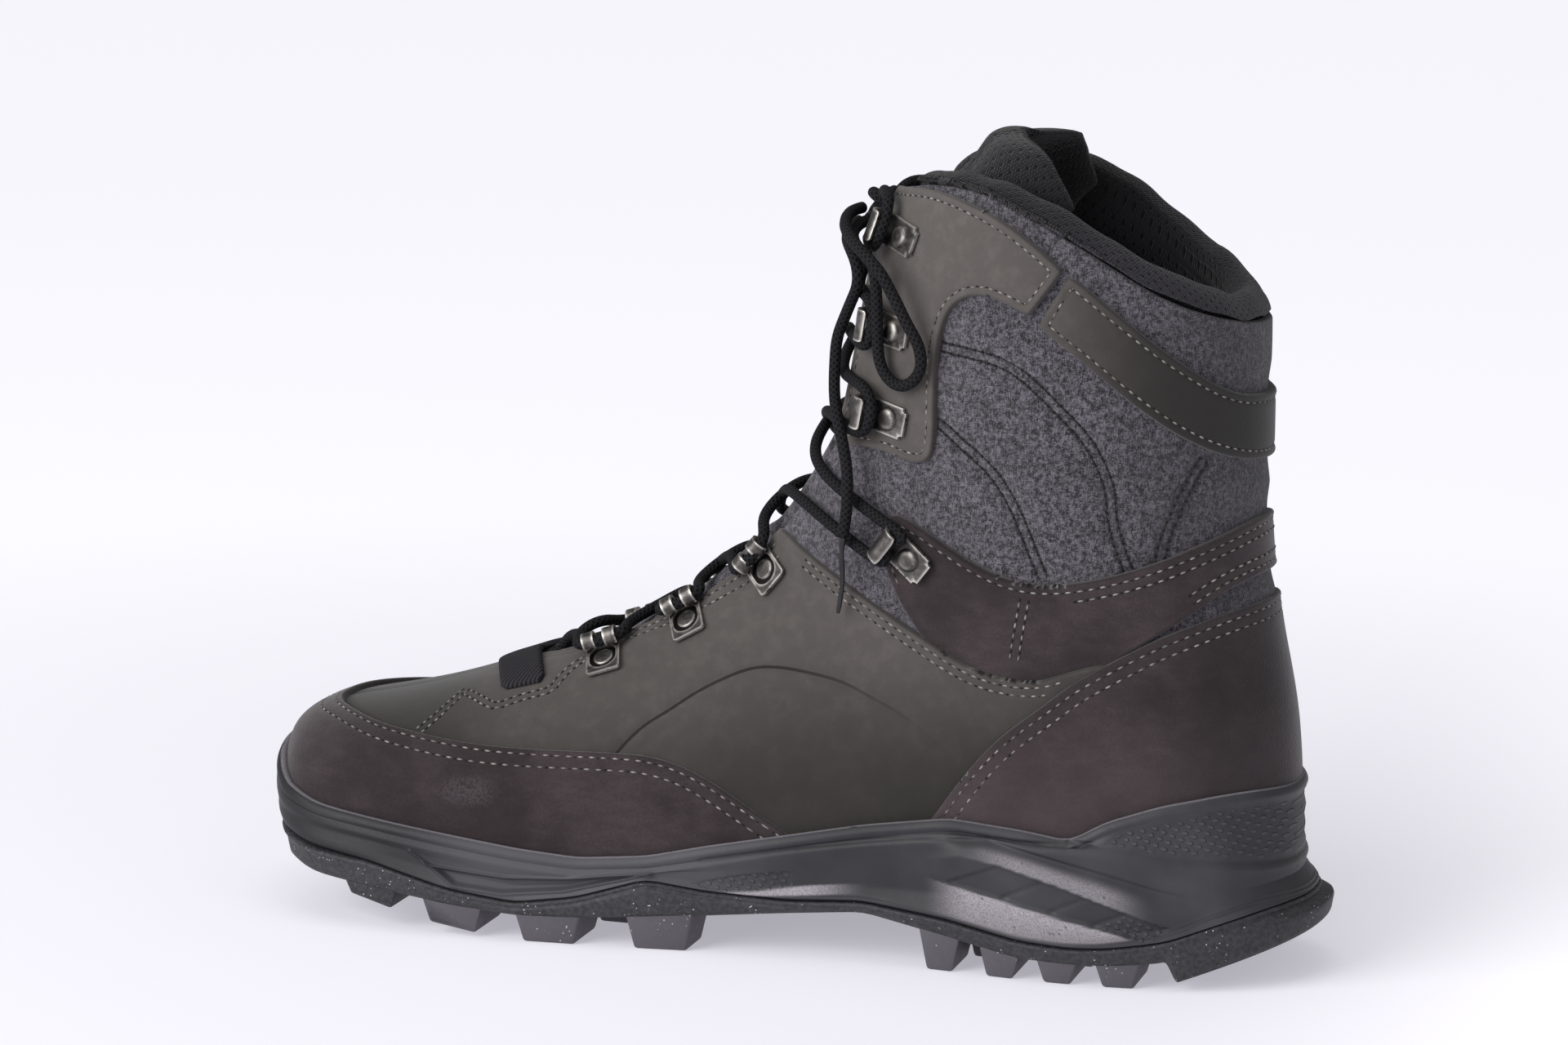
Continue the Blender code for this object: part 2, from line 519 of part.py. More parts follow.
def make_overlays(throat):
    rand_floor = [SidePoint(p.x, p.z + PANEL_RISE) for p in reversed(PAN[:5])] + [SidePoint(-200, 66)]
    rand = side_curve(TOE_RAND, 18) + rand_floor
    make_overlay("toe_rand", "suede", rand, UPPER_ROWS[:11], around(-11, 11))
    back_floor = [SidePoint(170, 105.5)] + [SidePoint(p.x, p.z + PANEL_RISE) for p in reversed(PAN[6:])]
    counter = side_curve(HEEL_COUNTER, 15) + back_floor
    make_overlay("heel_counter", "suede", counter, UPPER_ROWS[9:17], around(4, 22))
    make_overlay("ankle_band", "suede", ANKLE_TOP + ANKLE_LOW, UPPER_ROWS[11:19], around(3, 23))
    for name, side, low, high in (("shaft_eyestay_in", 1, 1, 8), ("shaft_eyestay_out", -1, 18, 25)):
        eyestay = make_overlay(name, "nubuck", EYESTAY, UPPER_ROWS[15:], around(low, high), side)
        combine(eyestay, throat, "DIFFERENCE")
    make_overlay("cuff_band", "nubuck", CUFF_BAND, UPPER_ROWS[16:], around(5, 21))


def make_collar_pad():
    outs, ups = np.array([p.out for p in PAD]), np.array([p.up for p in PAD])

    def place(index, v):
        u = collar_section((v + 1) % 2 - 1)
        out = last_normal(u, v)
        rise = last(u + 0.01, v) - last(u - 0.01, v)
        rise -= (rise * out).sum(-1, keepdims=True) * out
        rise /= np.linalg.norm(rise, axis=-1, keepdims=True)
        spot = index.astype(int) % len(PAD)
        return last(u, v) + outs[spot, None] * out + ups[spot, None] * rise

    mesh = mapped_grid(np.arange(len(PAD) + 1), around(PAD_FRONT, PAD_BACK), place)
    bmesh.ops.holes_fill(mesh, edges=mesh.edges)
    return add_object("collar_pad", close_outward(mesh), "mesh")


def tongue_place(share, reach):
    """The tongue's outer face: share runs from foot to crown, reach from one wing, -1, to the other, 1."""
    round_at = column(TONGUES, "reach", "u")
    crown = TONGUE_CROWN - TONGUE_DROP * np.abs(reach) ** 4
    u = TONGUE_FOOT + share * (crown - TONGUE_FOOT)
    v = reach * round_at(u)
    middle = np.clip(1 - (last(u, v)[..., 1] / 8) ** 2, 0, 1)
    out = -WALL - 4 * GAP + TONGUE_BULGE * middle * smooth_step(TONGUE_FOOT + 1, TONGUE_FOOT + 2, u)
    vamp = VAMP_STEP * (1 - smooth_step(VAMP_EDGE - 0.6, VAMP_EDGE - 0.1, u))
    return on_last(u, v, out + vamp - TONGUE_STEP * smooth_step(TONGUE_STEP_FROM, TONGUE_STEP_TO, u))


def make_tongue():
    mesh = mapped_grid(np.linspace(0, 1, 19), np.linspace(-1, 1, 9), tongue_place)
    tongue = add_object("tongue", mesh, "mesh")
    thicken(tongue, TONGUE_THICK, outward=False)
    return tongue


# Sole


def sole_stations():
    """Pairs of points round the upper's foot, inner and outer side, with their outward directions in plan."""
    us = np.concatenate([np.linspace(0, 1.5, 16), np.linspace(1.6, 12.4, 110), np.linspace(12.45, 13.4, 60)])

    def slice_height(x):
        return SLICE_LOW + (SLICE_HIGH - SLICE_LOW) * smooth_step(SLICE_FROM, SLICE_TO, x)

    heel = float(solve(lambda u: SLICE_HIGH - last(u, 1.0)[..., 2], 12.0, 14.5))
    us = us[us < heel]
    sides = []
    for side in (1, -1):
        def above(v):
            point = last(us, side * v)
            return point[..., 2] - slice_height(point[..., 0])

        v = solve(above, np.full(us.shape, 0.05), np.ones(us.shape))
        foot = np.concatenate([last(us, side * v), last([heel], [1.0])])[:, :2]
        reach = np.concatenate([[0], np.cumsum(np.linalg.norm(np.diff(foot, axis=0), axis=1))])
        steps = np.linspace(0, reach[-1], STATIONS + 1)
        sides.append(np.stack([np.interp(steps, reach, foot[:, k]) for k in (0, 1)], -1))
    loop = np.concatenate([sides[0], sides[1][-2:0:-1]])
    ahead = np.roll(loop, -1, axis=0) - np.roll(loop, 1, axis=0)
    ahead /= np.linalg.norm(ahead, axis=1, keepdims=True)
    return loop, np.stack([ahead[:, 1], -ahead[:, 0]], -1)


def ring_block(name, look, levels, helper=False):
    """A closed block with a ring of stations at each level, from the top down.

    A level is a height and an offset, both functions of x.
    """
    foot, outward = sole_stations()
    count = len(foot)
    partner = (count - np.arange(count)) % count

    def place(level, station):
        row = np.clip(level.astype(int) - 1, 0, len(levels) - 1)
        spot = station.astype(int) % count
        x = foot[spot, 0]
        height = np.choose(row, [h(x) for h, _ in levels])
        offset = np.choose(row, [o(x) for _, o in levels])
        plan = foot[spot] + offset[:, None] * outward[spot]
        twin_offset = np.choose(row, [o(foot[partner[spot], 0]) for _, o in levels])
        twin = foot[partner[spot]] + twin_offset[:, None] * outward[partner[spot]]
        cap = (level == 0) | (level == len(levels) + 1)
        twin_height = np.choose(row, [h(foot[partner[spot], 0]) for h, _ in levels])
        plan = np.where(cap[:, None], (plan + twin) / 2, plan)
        height = np.where(cap, (height + twin_height) / 2, height)
        return np.column_stack([plan, height])

    mesh = mapped_grid(np.arange(len(levels) + 2), np.arange(count + 1), place)
    return add_object(name, close_outward(mesh), look, helper)


def side_levels(*pairs):
    """Levels from (height column, drop, offset column, more) rows of the sole's side table."""
    levels = []
    for height, drop, offset, more in pairs:
        rise, reach = column(SIDES, height), column(SIDES, offset)
        levels.append((lambda x, rise=rise, drop=drop: rise(x) - drop,
                       lambda x, reach=reach, more=more: reach(x) + more))
    return levels


FILL_ROWS = np.append(UPPER_ROWS[:16], UPPER_ROWS[15] + 0.001)
FILL_CROWN = np.array([75.0, 0.0, 130.0])


def foot_fill(name, out, look, helper=False):
    """The inside of the foot as one closed block, its skin a distance out from the upper."""
    def place(row, v):
        return np.where((row > FILL_ROWS[-2])[..., None], FILL_CROWN, upper_place(out)(row, v))

    return add_object(name, close_outward(mapped_grid(FILL_ROWS, around(-13, 13), place)), look, helper)


def pan_slab(name, low, high):
    """A helper: what lies between two heights over the pan."""
    under = [SidePoint(p.x, p.z + low) for p in PAN]
    over = [SidePoint(p.x, p.z + high) for p in reversed(PAN)]
    return side_prism(name, under + over)


def make_midsole():
    midsole = ring_block("midsole", "sole", side_levels(
        ("rim", 0, "out_rim", 0), ("rim", LIP_DROP, "out_rim", LIP_OUT),
        ("rim", GROOVE_DROP, "out_rim", 0), ("band_top", 0, "out_band", -0.8),
        ("band_top", 2.0, "out_band", 0), ("band_low", 0, "out_band", -0.8),
        ("crease", 0, "out_crease", 0), ("parting", 0, "out_parting", 0)))
    cavity = foot_fill("midsole_cavity", OVERLAY + 2 * GAP, "sole", helper=True)
    combine(cavity, pan_slab("midsole_floor", -60, 0), "DIFFERENCE")
    combine(midsole, cavity, "DIFFERENCE")
    return midsole


def lug_block(name, row):
    """A tapered block that bites into the sole; its foot follows the tread."""
    low_y, high_y = (row.y0, row.y1) if row.side <= 0 else (-row.y1, -row.y0)
    root = column(SIDES, "root")
    mesh = bmesh.new()
    bmesh.ops.create_cube(mesh, size=1)
    for vert in mesh.verts:
        x = row.x0 if vert.co.x < 0 else row.x1
        y = low_y if vert.co.y < 0 else high_y
        if vert.co.z < 0:
            x -= LUG_TAPER * np.sign(vert.co.x) * 0.6
            y -= LUG_TAPER * np.sign(vert.co.y) * 0.6
            z = tread_height(x)
        else:
            x += LUG_TAPER * np.sign(vert.co.x) * 0.6
            z = root(x) + LUG_BITE
        vert.co = Vector((x, y, z)) * MM
    return add_object(name, close_outward(mesh), "tread", helper=True)


def make_outsole():
    outsole = ring_block("outsole", "tread", side_levels(
        ("parting", 2 * GAP, "out_parting", 0.3), ("parting", 2.5, "out_root", 0.9),
        ("root", 0, "out_root", 0)))
    root, edge = column(SIDES, "root"), column(SIDES, "out_root")
    lugs = ring_block("lugs", "tread", [
        (lambda x: root(x) + 1.5, lambda x: edge(x) - 0.3),
        (lambda x: np.full_like(x, -2.0), lambda x: edge(x) - 2.2)], helper=True)
    blocks = bpy.data.collections.new("lug_blocks")
    for number, row in enumerate(LUGS):
        block = lug_block(f"lug_{number}", row)
        blocks.objects.link(block)
    field = add_object("lug_field", bmesh.new(), "tread", helper=True)
    join = field.modifiers.new("join", "BOOLEAN")
    join.operation, join.operand_type, join.collection, join.solver = "UNION", "COLLECTION", blocks, "EXACT"
    combine(field, lugs, "INTERSECT")
    combine(outsole, field, "UNION")
    return outsole


def make_insole():
    insole = foot_fill("insole", -WALL - 2 * GAP, "mesh")
    combine(insole, pan_slab("insole_cut", GAP, GAP + INSOLE_THICK), "INTERSECT")
    return insole


# Hardware and lace


def plate_frame(row, side):
    """A plate's centre on the upper and its axes: towards the throat, along the throat and out."""
    u, v = np.array(row.u), np.array(side * row.v)
    out = last_normal(u, v)
    ahead = last(u + 0.01, v) - last(u - 0.01, v)
    ahead -= (ahead * out).sum() * out
    ahead /= np.linalg.norm(ahead)
    return on_last(u, v, row.over + GAP), side * np.cross(out, ahead), ahead, out


def curl_centre(frame, curl):
    """The middle of a plate's curled end."""
    centre, across, _, out = frame
    return centre + curl.plate_long / 2 * across + (curl.thick / 2 + curl.radius) * out


def curl_plate(name, frame, curl):
    """A plate with one end rolled into a loop or hook, and a rivet in its middle."""
    centre, across, ahead, out = frame
    turns = np.radians(np.linspace(-90, -90 + curl.turn, curl.steps + 1))
    roll = np.stack([np.cos(turns), np.sin(turns)], -1)
    outer, inner = (roll * (curl.radius + half) for half in (curl.thick / 2, -curl.thick / 2))
    rim = np.concatenate([outer, inner[::-1]]) + [curl.plate_long / 2, curl.thick / 2 + curl.radius]
    rim = np.concatenate([rim, [[-curl.plate_long / 2, curl.thick], [-curl.plate_long / 2, 0]]])
    mesh = bmesh.new()
    near = centre - curl.plate_wide / 2 * ahead
    corners = [mesh.verts.new((near + t * across + n * out) * MM) for t, n in rim]
    grown = bmesh.ops.extrude_face_region(mesh, geom=[mesh.faces.new(corners)])["geom"]
    moved = [item for item in grown if isinstance(item, bmesh.types.BMVert)]
    bmesh.ops.translate(mesh, verts=moved, vec=Vector(ahead) * curl.plate_wide * MM)
    bmesh.ops.triangulate(mesh, faces=[f for f in mesh.faces if len(f.verts) > 4])
    piece = add_object(name, close_outward(mesh), "gunmetal")
    head = bmesh.new()
    turn = Vector(out).to_track_quat("Z", "Y").to_matrix().to_4x4()
    place = Matrix.Translation((centre + (curl.thick + RIVET_HIGH) / 2 * out) * MM) @ turn
    bmesh.ops.create_cone(
        head, cap_ends=True, segments=RIVET_SIDES, radius1=RIVET_RADIUS * MM,
        radius2=0.7 * RIVET_RADIUS * MM, depth=(RIVET_HIGH + curl.thick / 2) * MM, matrix=place)
    rivet = add_object(name + "_rivet", close_outward(head), "gunmetal", helper=True)
    combine(piece, rivet, "UNION")
    return piece


def curl_of(row):
    return RING_CURL if "ring" in row.name else HOOK_CURL


def make_hardware():
    for row in PLATES:
        for side, word in ((1, "in"), (-1, "out")):
            curl_plate(f"{row.name}_{word}", plate_frame(row, side), curl_of(row))


def make_strap():
    mesh = mapped_grid(STRAP_ROWS, STRAP_REACH, lambda u, v: on_last(u, v, VAMP_STEP + 2 * GAP))
    strap = add_object("lace_tab", mesh, "cord")
    thicken(strap, STRAP_THICK, outward=True)
    return strap


def lace_route(points, side):
    return [on_last(p.u, side * p.v, p.out) for p in points]


def strand(first_side):
    """One half of the lace, from under the strap through a ring or hook on each side in turn to the knot."""
    points = lace_route(LACE_START, first_side)
    before = None
    for number, row in enumerate(PLATES):
        side = first_side * (-1) ** number
        frame, curl = plate_frame(row, side), curl_of(row)
        centre, step = curl_centre(frame, curl), curl.plate_wide * LACE_REACH * frame[2]
        spot = np.array([row.u, side * row.v])
        if before is not None:
            for share, over in LACE_OVER.items():
                points.append(on_last(*(before + share * (spot - before)), over))
        points += [centre - step, centre + step]
        before = spot
    return np.array(points + lace_route(LACE_STOP, side))


def cord_line(points):
    """Points a few diameters apart along a smooth curve that keeps the given ones."""
    columns = [spline(points[:, k]) for k in range(3)]
    steps = [0.0]
    for number, reach in enumerate(np.linalg.norm(np.diff(points, axis=0), axis=1)):
        parts = max(1, int(round(reach / LACE_STEP)))
        steps += [number + (part + 1) / parts for part in range(parts)]
    return np.stack([at(steps) for at in columns], -1)


def cord(name, points, helper=False):
    """A round cord along a smooth curve through the points."""
    curve = bpy.data.curves.new(name, "CURVE")
    curve.dimensions = "3D"
    line = cord_line(points)
    path = curve.splines.new("POLY")
    path.points.add(len(line) - 1)
    for spot, point in zip(path.points, line * MM):
        spot.co = (*point, 1)
    curve.bevel_depth = LACE_RADIUS * MM
    curve.bevel_resolution = LACE_SIDES
    curve.use_fill_caps = True
    curve.materials.append(finish("cord"))
    piece = bpy.data.objects.new(name, curve)
    bpy.context.scene.collection.objects.link(piece)
    if helper:
        piece.hide_render = True
        piece.display_type = "WIRE"
    return piece


def cord_mesh(name, points, helper=False):
    """A cord as a mesh, so that it can be joined with another."""
    piece = cord(name + "_path", points, helper=True)
    data = bpy.data.meshes.new_from_object(piece.evaluated_get(bpy.context.evaluated_depsgraph_get()))
    mesh = bmesh.new()
    mesh.from_mesh(data)
    bmesh.ops.remove_doubles(mesh, verts=mesh.verts, dist=WELD * MM)
    bpy.data.objects.remove(piece)
    return add_object(name, close_outward(mesh), "cord", helper)


def make_lace():
    bars = cord_mesh("lace_bars", strand(1))
    combine(bars, cord_mesh("lace_bars_back", strand(-1), helper=True), "UNION")
    knot = bmesh.new()
    bmesh.ops.create_uvsphere(knot, u_segments=12, v_segments=8, radius=1)
    bmesh.ops.scale(knot, verts=knot.verts, vec=Vector(KNOT_SIZE) * MM)
    middle = on_last(np.array(KNOT_SECTION), np.array(0.0), KNOT_OVER)
    bmesh.ops.translate(knot, verts=knot.verts, vec=Vector(middle) * MM)
    add_object("lace_knot", close_outward(knot), "cord")
    for side, word in ((1, "in"), (-1, "out")):
        for name, points in (("loop", LOOP), ("end", END)):
            cord(f"lace_{name}_{word}", np.array(lace_route(points, side)))


def clear_scene():
    for piece in list(bpy.data.objects):
        bpy.data.objects.remove(piece)


def main():
    clear_scene()
    make_outsole()
    make_midsole()
    make_insole()
    throat = throat_cut()
    make_upper(throat)
    make_overlays(throat)
    make_collar_pad()
    make_tongue()
    make_hardware()
    make_strap()
    make_lace()
    for piece in bpy.data.objects:
        piece.location -= Vector(CENTRE) * MM


main()
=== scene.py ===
from collections import namedtuple

import bmesh
import bpy
import numpy as np
from mathutils import Matrix, Vector

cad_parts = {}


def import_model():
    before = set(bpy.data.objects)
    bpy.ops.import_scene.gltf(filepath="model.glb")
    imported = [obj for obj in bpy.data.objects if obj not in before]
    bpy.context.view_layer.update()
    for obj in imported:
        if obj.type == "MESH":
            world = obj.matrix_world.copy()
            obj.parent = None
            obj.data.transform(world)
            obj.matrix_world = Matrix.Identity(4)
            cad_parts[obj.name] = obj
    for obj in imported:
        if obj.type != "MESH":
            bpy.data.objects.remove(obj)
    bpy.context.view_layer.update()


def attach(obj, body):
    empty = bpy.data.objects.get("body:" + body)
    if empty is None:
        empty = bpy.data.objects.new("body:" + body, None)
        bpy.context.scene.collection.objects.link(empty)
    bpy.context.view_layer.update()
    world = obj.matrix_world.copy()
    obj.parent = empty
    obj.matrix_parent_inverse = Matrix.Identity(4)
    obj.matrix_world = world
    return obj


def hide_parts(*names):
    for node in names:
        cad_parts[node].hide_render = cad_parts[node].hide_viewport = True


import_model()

MM = 0.001
# Tables are in millimetres from the middle of the last, and CENTRE is the middle of the sole there.
CENTRE = np.array([4.4, 2.6, 0.0])
WALL = 2.6
VAMP_STEP = 1.2
OVERLAY = 1.2
GAP = 0.3
HANDS = ((1, "in"), (-1, "out"))
# Millimetres on the strap for one whole v and one whole u
STRAP_PER_V, STRAP_PER_U = 64, 11.6

# Camera

CAMERA_TURN, CAMERA_RISE, CAMERA_ROLL = 16, 9.5, 1.2
CAMERA_AIM, CAMERA_FAR = Vector((-0.0078, -0.0026, 0.1134)), 1.25
CAMERA_LENS, CAMERA_SENSOR = 103.125, 36


def make_camera():
    """A long lens from the inner side, a little in front and above."""
    turn, rise, roll = np.radians([CAMERA_TURN, CAMERA_RISE, CAMERA_ROLL])
    back = Vector((np.sin(turn) * np.cos(rise), -np.cos(turn) * np.cos(rise), np.sin(rise)))
    right = Vector((np.cos(turn), np.sin(turn), 0))
    up = back.cross(right)
    right, up = np.cos(roll) * right + np.sin(roll) * up, np.cos(roll) * up - np.sin(roll) * right
    data = bpy.data.cameras.new("camera")
    data.lens, data.sensor_width = CAMERA_LENS, CAMERA_SENSOR
    camera = bpy.data.objects.new("camera", data)
    turned = Matrix((right, up, back)).transposed().to_4x4()
    camera.matrix_world = Matrix.Translation(CAMERA_AIM + CAMERA_FAR * back) @ turned
    bpy.context.scene.collection.objects.link(camera)
    bpy.context.scene.camera = camera


make_camera()

# The last, as in the part


def smooth_step(low, high, value):
    share = np.clip((np.asarray(value, float) - low) / (high - low), 0, 1)
    return share * share * (3 - 2 * share)


def bump(distance, width):
    """A soft hump: 1 on the line and nothing a few widths away."""
    return np.exp(-(np.asarray(distance) / width) ** 2)


def spline(values, before=()):
    """A cubic spline through one column of a table, with more values before its first row."""
    knots = np.concatenate([before, np.asarray(values, float)])
    count, first = len(knots), len(before)
    system = np.eye(count)
    bend = np.zeros(count)
    for i in range(1, count - 1):
        system[i, i - 1:i + 2] = 1 / 6, 2 / 3, 1 / 6
        bend[i] = knots[i - 1] - 2 * knots[i] + knots[i + 1]
    second = np.linalg.solve(system, bend)

    def at(t):
        t = np.clip(np.asarray(t, float) + first, 0, count - 1)
        i = np.minimum(t.astype(int), count - 2)
        s = t - i
        r = 1 - s
        straight = r * knots[i] + s * knots[i + 1]
        return straight + (r ** 3 - r) * second[i] / 6 + (s ** 3 - s) * second[i + 1] / 6

    return at


Section = namedtuple(
    "Section", "top_x top_z base_x base_z wide_in wide_out waist top_round base_round middle")
SECTIONS = [
    Section(-141.6, 41.5, -137.0, 24.0, 0.0, 0.0, 0.48, 2.2, 3.0, -9.0),
    Section(-140.6, 46.4, -136.3, 21.0, 13.2, 14.2, 0.46, 2.3, 3.0, -9.0),
    Section(-137.4, 51.0, -133.6, 18.0, 23.5, 26.0, 0.44, 2.4, 3.0, -8.6),
    Section(-130.2, 55.0, -127.8, 15.0, 32.0, 37.0, 0.41, 2.5, 3.0, -7.6),
    Section(-118.3, 57.6, -117.2, 12.5, 38.5, 45.0, 0.38, 2.5, 3.0, -5.8),
    Section(-102.5, 61.2, -102.5, 10.5, 42.5, 49.5, 0.36, 2.4, 3.0, -3.6),
    Section(-85.0, 66.8, -84.0, 9.5, 44.8, 51.8, 0.33, 2.25, 3.0, -1.6),
    Section(-67.0, 73.4, -62.0, 9.0, 45.0, 51.5, 0.31, 2.1, 3.0, 0.0),
    Section(-52.0, 79.4, -37.0, 10.0, 43.5, 49.5, 0.29, 2.0, 3.0, 0.8),
    Section(-40.0, 85.4, -7.0, 12.0, 41.0, 46.5, 0.28, 1.95, 3.0, 1.2),
    Section(-30.0, 92.0, 28.0, 15.0, 38.5, 43.5, 0.28, 1.92, 3.0, 1.2),
    Section(-21.0, 99.5, 68.0, 18.0, 36.8, 41.0, 0.30, 1.92, 3.0, 1.0),
    Section(-13.2, 107.2, 115.0, 20.0, 36.2, 39.5, 0.34, 1.95, 2.8, 0.6),
    Section(-6.0, 115.4, 138.6, 37.0, 36.2, 38.4, 0.40, 2.05, 2.4, 0.3),
    Section(0.6, 124.5, 140.6, 61.0, 36.6, 38.0, 0.45, 2.1, 2.2, 0.2),
    Section(6.2, 134.0, 137.6, 84.0, 37.2, 38.0, 0.48, 2.2, 2.1, 0.0),
    Section(11.2, 144.0, 134.2, 104.0, 38.0, 38.4, 0.50, 2.2, 2.1, 0.0),
    Section(14.8, 155.0, 132.0, 122.0, 38.8, 39.0, 0.50, 2.2, 2.1, 0.0),
    Section(17.6, 168.0, 131.4, 138.0, 39.6, 39.6, 0.50, 2.2, 2.1, 0.0),
    Section(20.2, 182.0, 131.0, 153.0, 40.3, 40.3, 0.50, 2.2, 2.1, 0.0),
    Section(23.4, 196.0, 130.6, 166.5, 40.8, 40.8, 0.50, 2.2, 2.1, 0.0),
    Section(28.4, 208.0, 130.2, 179.0, 41.0, 41.0, 0.50, 2.2, 2.1, 0.0),
    Section(35.6, 219.0, 129.8, 190.0, 40.8, 40.8, 0.50, 2.2, 2.1, 0.0),
    Section(44.0, 230.0, 129.5, 201.0, 40.4, 40.4, 0.50, 2.2, 2.1, 0.0),
]
LAST_SECTION = len(SECTIONS) - 1
MIRRORED_ROWS = 3


def section_spline(name):
    """A column of the last's table, mirrored past the toe so that the toe closes round."""
    values = np.array([getattr(row, name) for row in SECTIONS])
    return spline(values, values[MIRRORED_ROWS:0:-1] * (-1 if name.startswith("wide") else 1))


SECTION_AT = {name: section_spline(name) for name in Section._fields}


def column(rows, name, key="x"):
    keys = [getattr(row, key) for row in rows]
    values = [getattr(row, name) for row in rows]
    return lambda at: np.interp(at, keys, values)


def superellipse(angle, power):
    c, s = np.abs(np.cos(angle)), np.abs(np.sin(angle))
    reach = (c ** power + s ** power) ** (-1 / power)
    return c * reach, s * reach


def wrapped(v):
    return (np.asarray(v, float) + 1) % 2 - 1


def last(u, v):
    """A point of the last.

    u counts sections from the toe. v runs from the ridge, 0, to the base, 1 inside and -1 outside.
    """
    u, v = np.broadcast_arrays(np.asarray(u, float), wrapped(v))
    row = {name: at(u) for name, at in SECTION_AT.items()}
    top_half = np.abs(v) <= 0.5
    turn = np.where(top_half, np.abs(v), 1 - np.abs(v)) * np.pi
    along_top, side_top = superellipse(turn, row["top_round"])
    along_base, side_base = superellipse(turn, row["base_round"])
    waist = row["waist"]
    along = np.where(top_half, waist + (1 - waist) * along_top, waist * (1 - along_base))
    side = np.where(top_half, side_top, side_base) * np.where(v > 0, -row["wide_in"], row["wide_out"])
    x = row["base_x"] + (row["top_x"] - row["base_x"]) * along
    z = row["base_z"] + (row["top_z"] - row["base_z"]) * along
    return np.stack([x, row["middle"] + side, z], -1)


def last_normal(u, v, step=1e-3):
    tip = np.asarray(u, float) <= 0
    u = np.maximum(u, 0.05)
    along = last(u + step, v) - last(u - step, v)
    around = last(u, v + step) - last(u, v - step)
    out = np.cross(around, along)
    out[..., 1] = np.where(tip, 0, out[..., 1])
    return out / np.linalg.norm(out, axis=-1, keepdims=True)


def last_ahead(u, v, out, step=0.01):
    """The direction along the last's skin towards the next section."""
    ahead = last(u + step, v) - last(u - step, v)
    ahead -= (ahead * out).sum(-1, keepdims=True) * out
    return ahead / np.linalg.norm(ahead, axis=-1, keepdims=True)


def on_last(u, v, out=0.0):
    return last(u, v) + np.broadcast_to(out, np.shape(u))[..., None] * last_normal(u, v)


def solve(function, low, high, rounds=40):
    """Where a falling function crosses zero, for arrays of bounds."""
    low, high = np.array(low, float), np.array(high, float)
    for _ in range(rounds):
        middle = (low + high) / 2
        above = function(middle) > 0
        low = np.where(above, middle, low)
        high = np.where(above, high, middle)
    return (low + high) / 2


SidePoint = namedtuple("SidePoint", "x z")


def side_points(*pairs):
    """Points in side view, from pairs of x and z."""
    return [SidePoint(x, z) for x, z in pairs]


COLLAR = side_points(
    (22, 207), (39, 212), (51, 212.6), (62, 210.8), (75, 205), (88, 198), (100, 190.6), (111, 184),
    (126, 178.5), (138, 176.5),
)
collar_height = column(COLLAR, "z")
VAMP_TOP, VAMP_RISE = 13.2, 1.3


def vamp_edge(v):
    """The section at which the vamp ends, later down the sides."""
    return VAMP_TOP + VAMP_RISE * smooth_step(0.40, 0.66, np.abs(wrapped(v)))


def collar_section(v):
    """The section at which the collar cuts the upper."""
    v = np.asarray(v, float)

    def below(u):
        point = last(u, v)
        return collar_height(point[..., 0]) - point[..., 2]

    return solve(below, np.full(v.shape, 18.0), np.full(v.shape, float(LAST_SECTION)))


def world(points):
    return (np.asarray(points) - CENTRE) * MM


# Shader sums


class Value:
    """A shader socket that can take part in sums."""

    def __init__(self, look, socket):
        self.look, self.socket = look, socket

    def __add__(self, other):
        return self.look.math("ADD", self, other)

    def __radd__(self, other):
        return self.look.math("ADD", other, self)

    def __sub__(self, other):
        return self.look.math("SUBTRACT", self, other)

    def __rsub__(self, other):
        return self.look.math("SUBTRACT", other, self)

    def __mul__(self, other):
        return self.look.math("MULTIPLY", self, other)

    def __rmul__(self, other):
        return self.look.math("MULTIPLY", other, self)


def srgb(red, green, blue):
    """A colour as a screen shows it, 0 to 255, made linear."""
    share = np.array([red, green, blue]) / 255
    linear = np.where(share <= 0.04045, share / 12.92, ((share + 0.055) / 1.055) ** 2.4)
    return (*(float(x) for x in linear), 1.0)


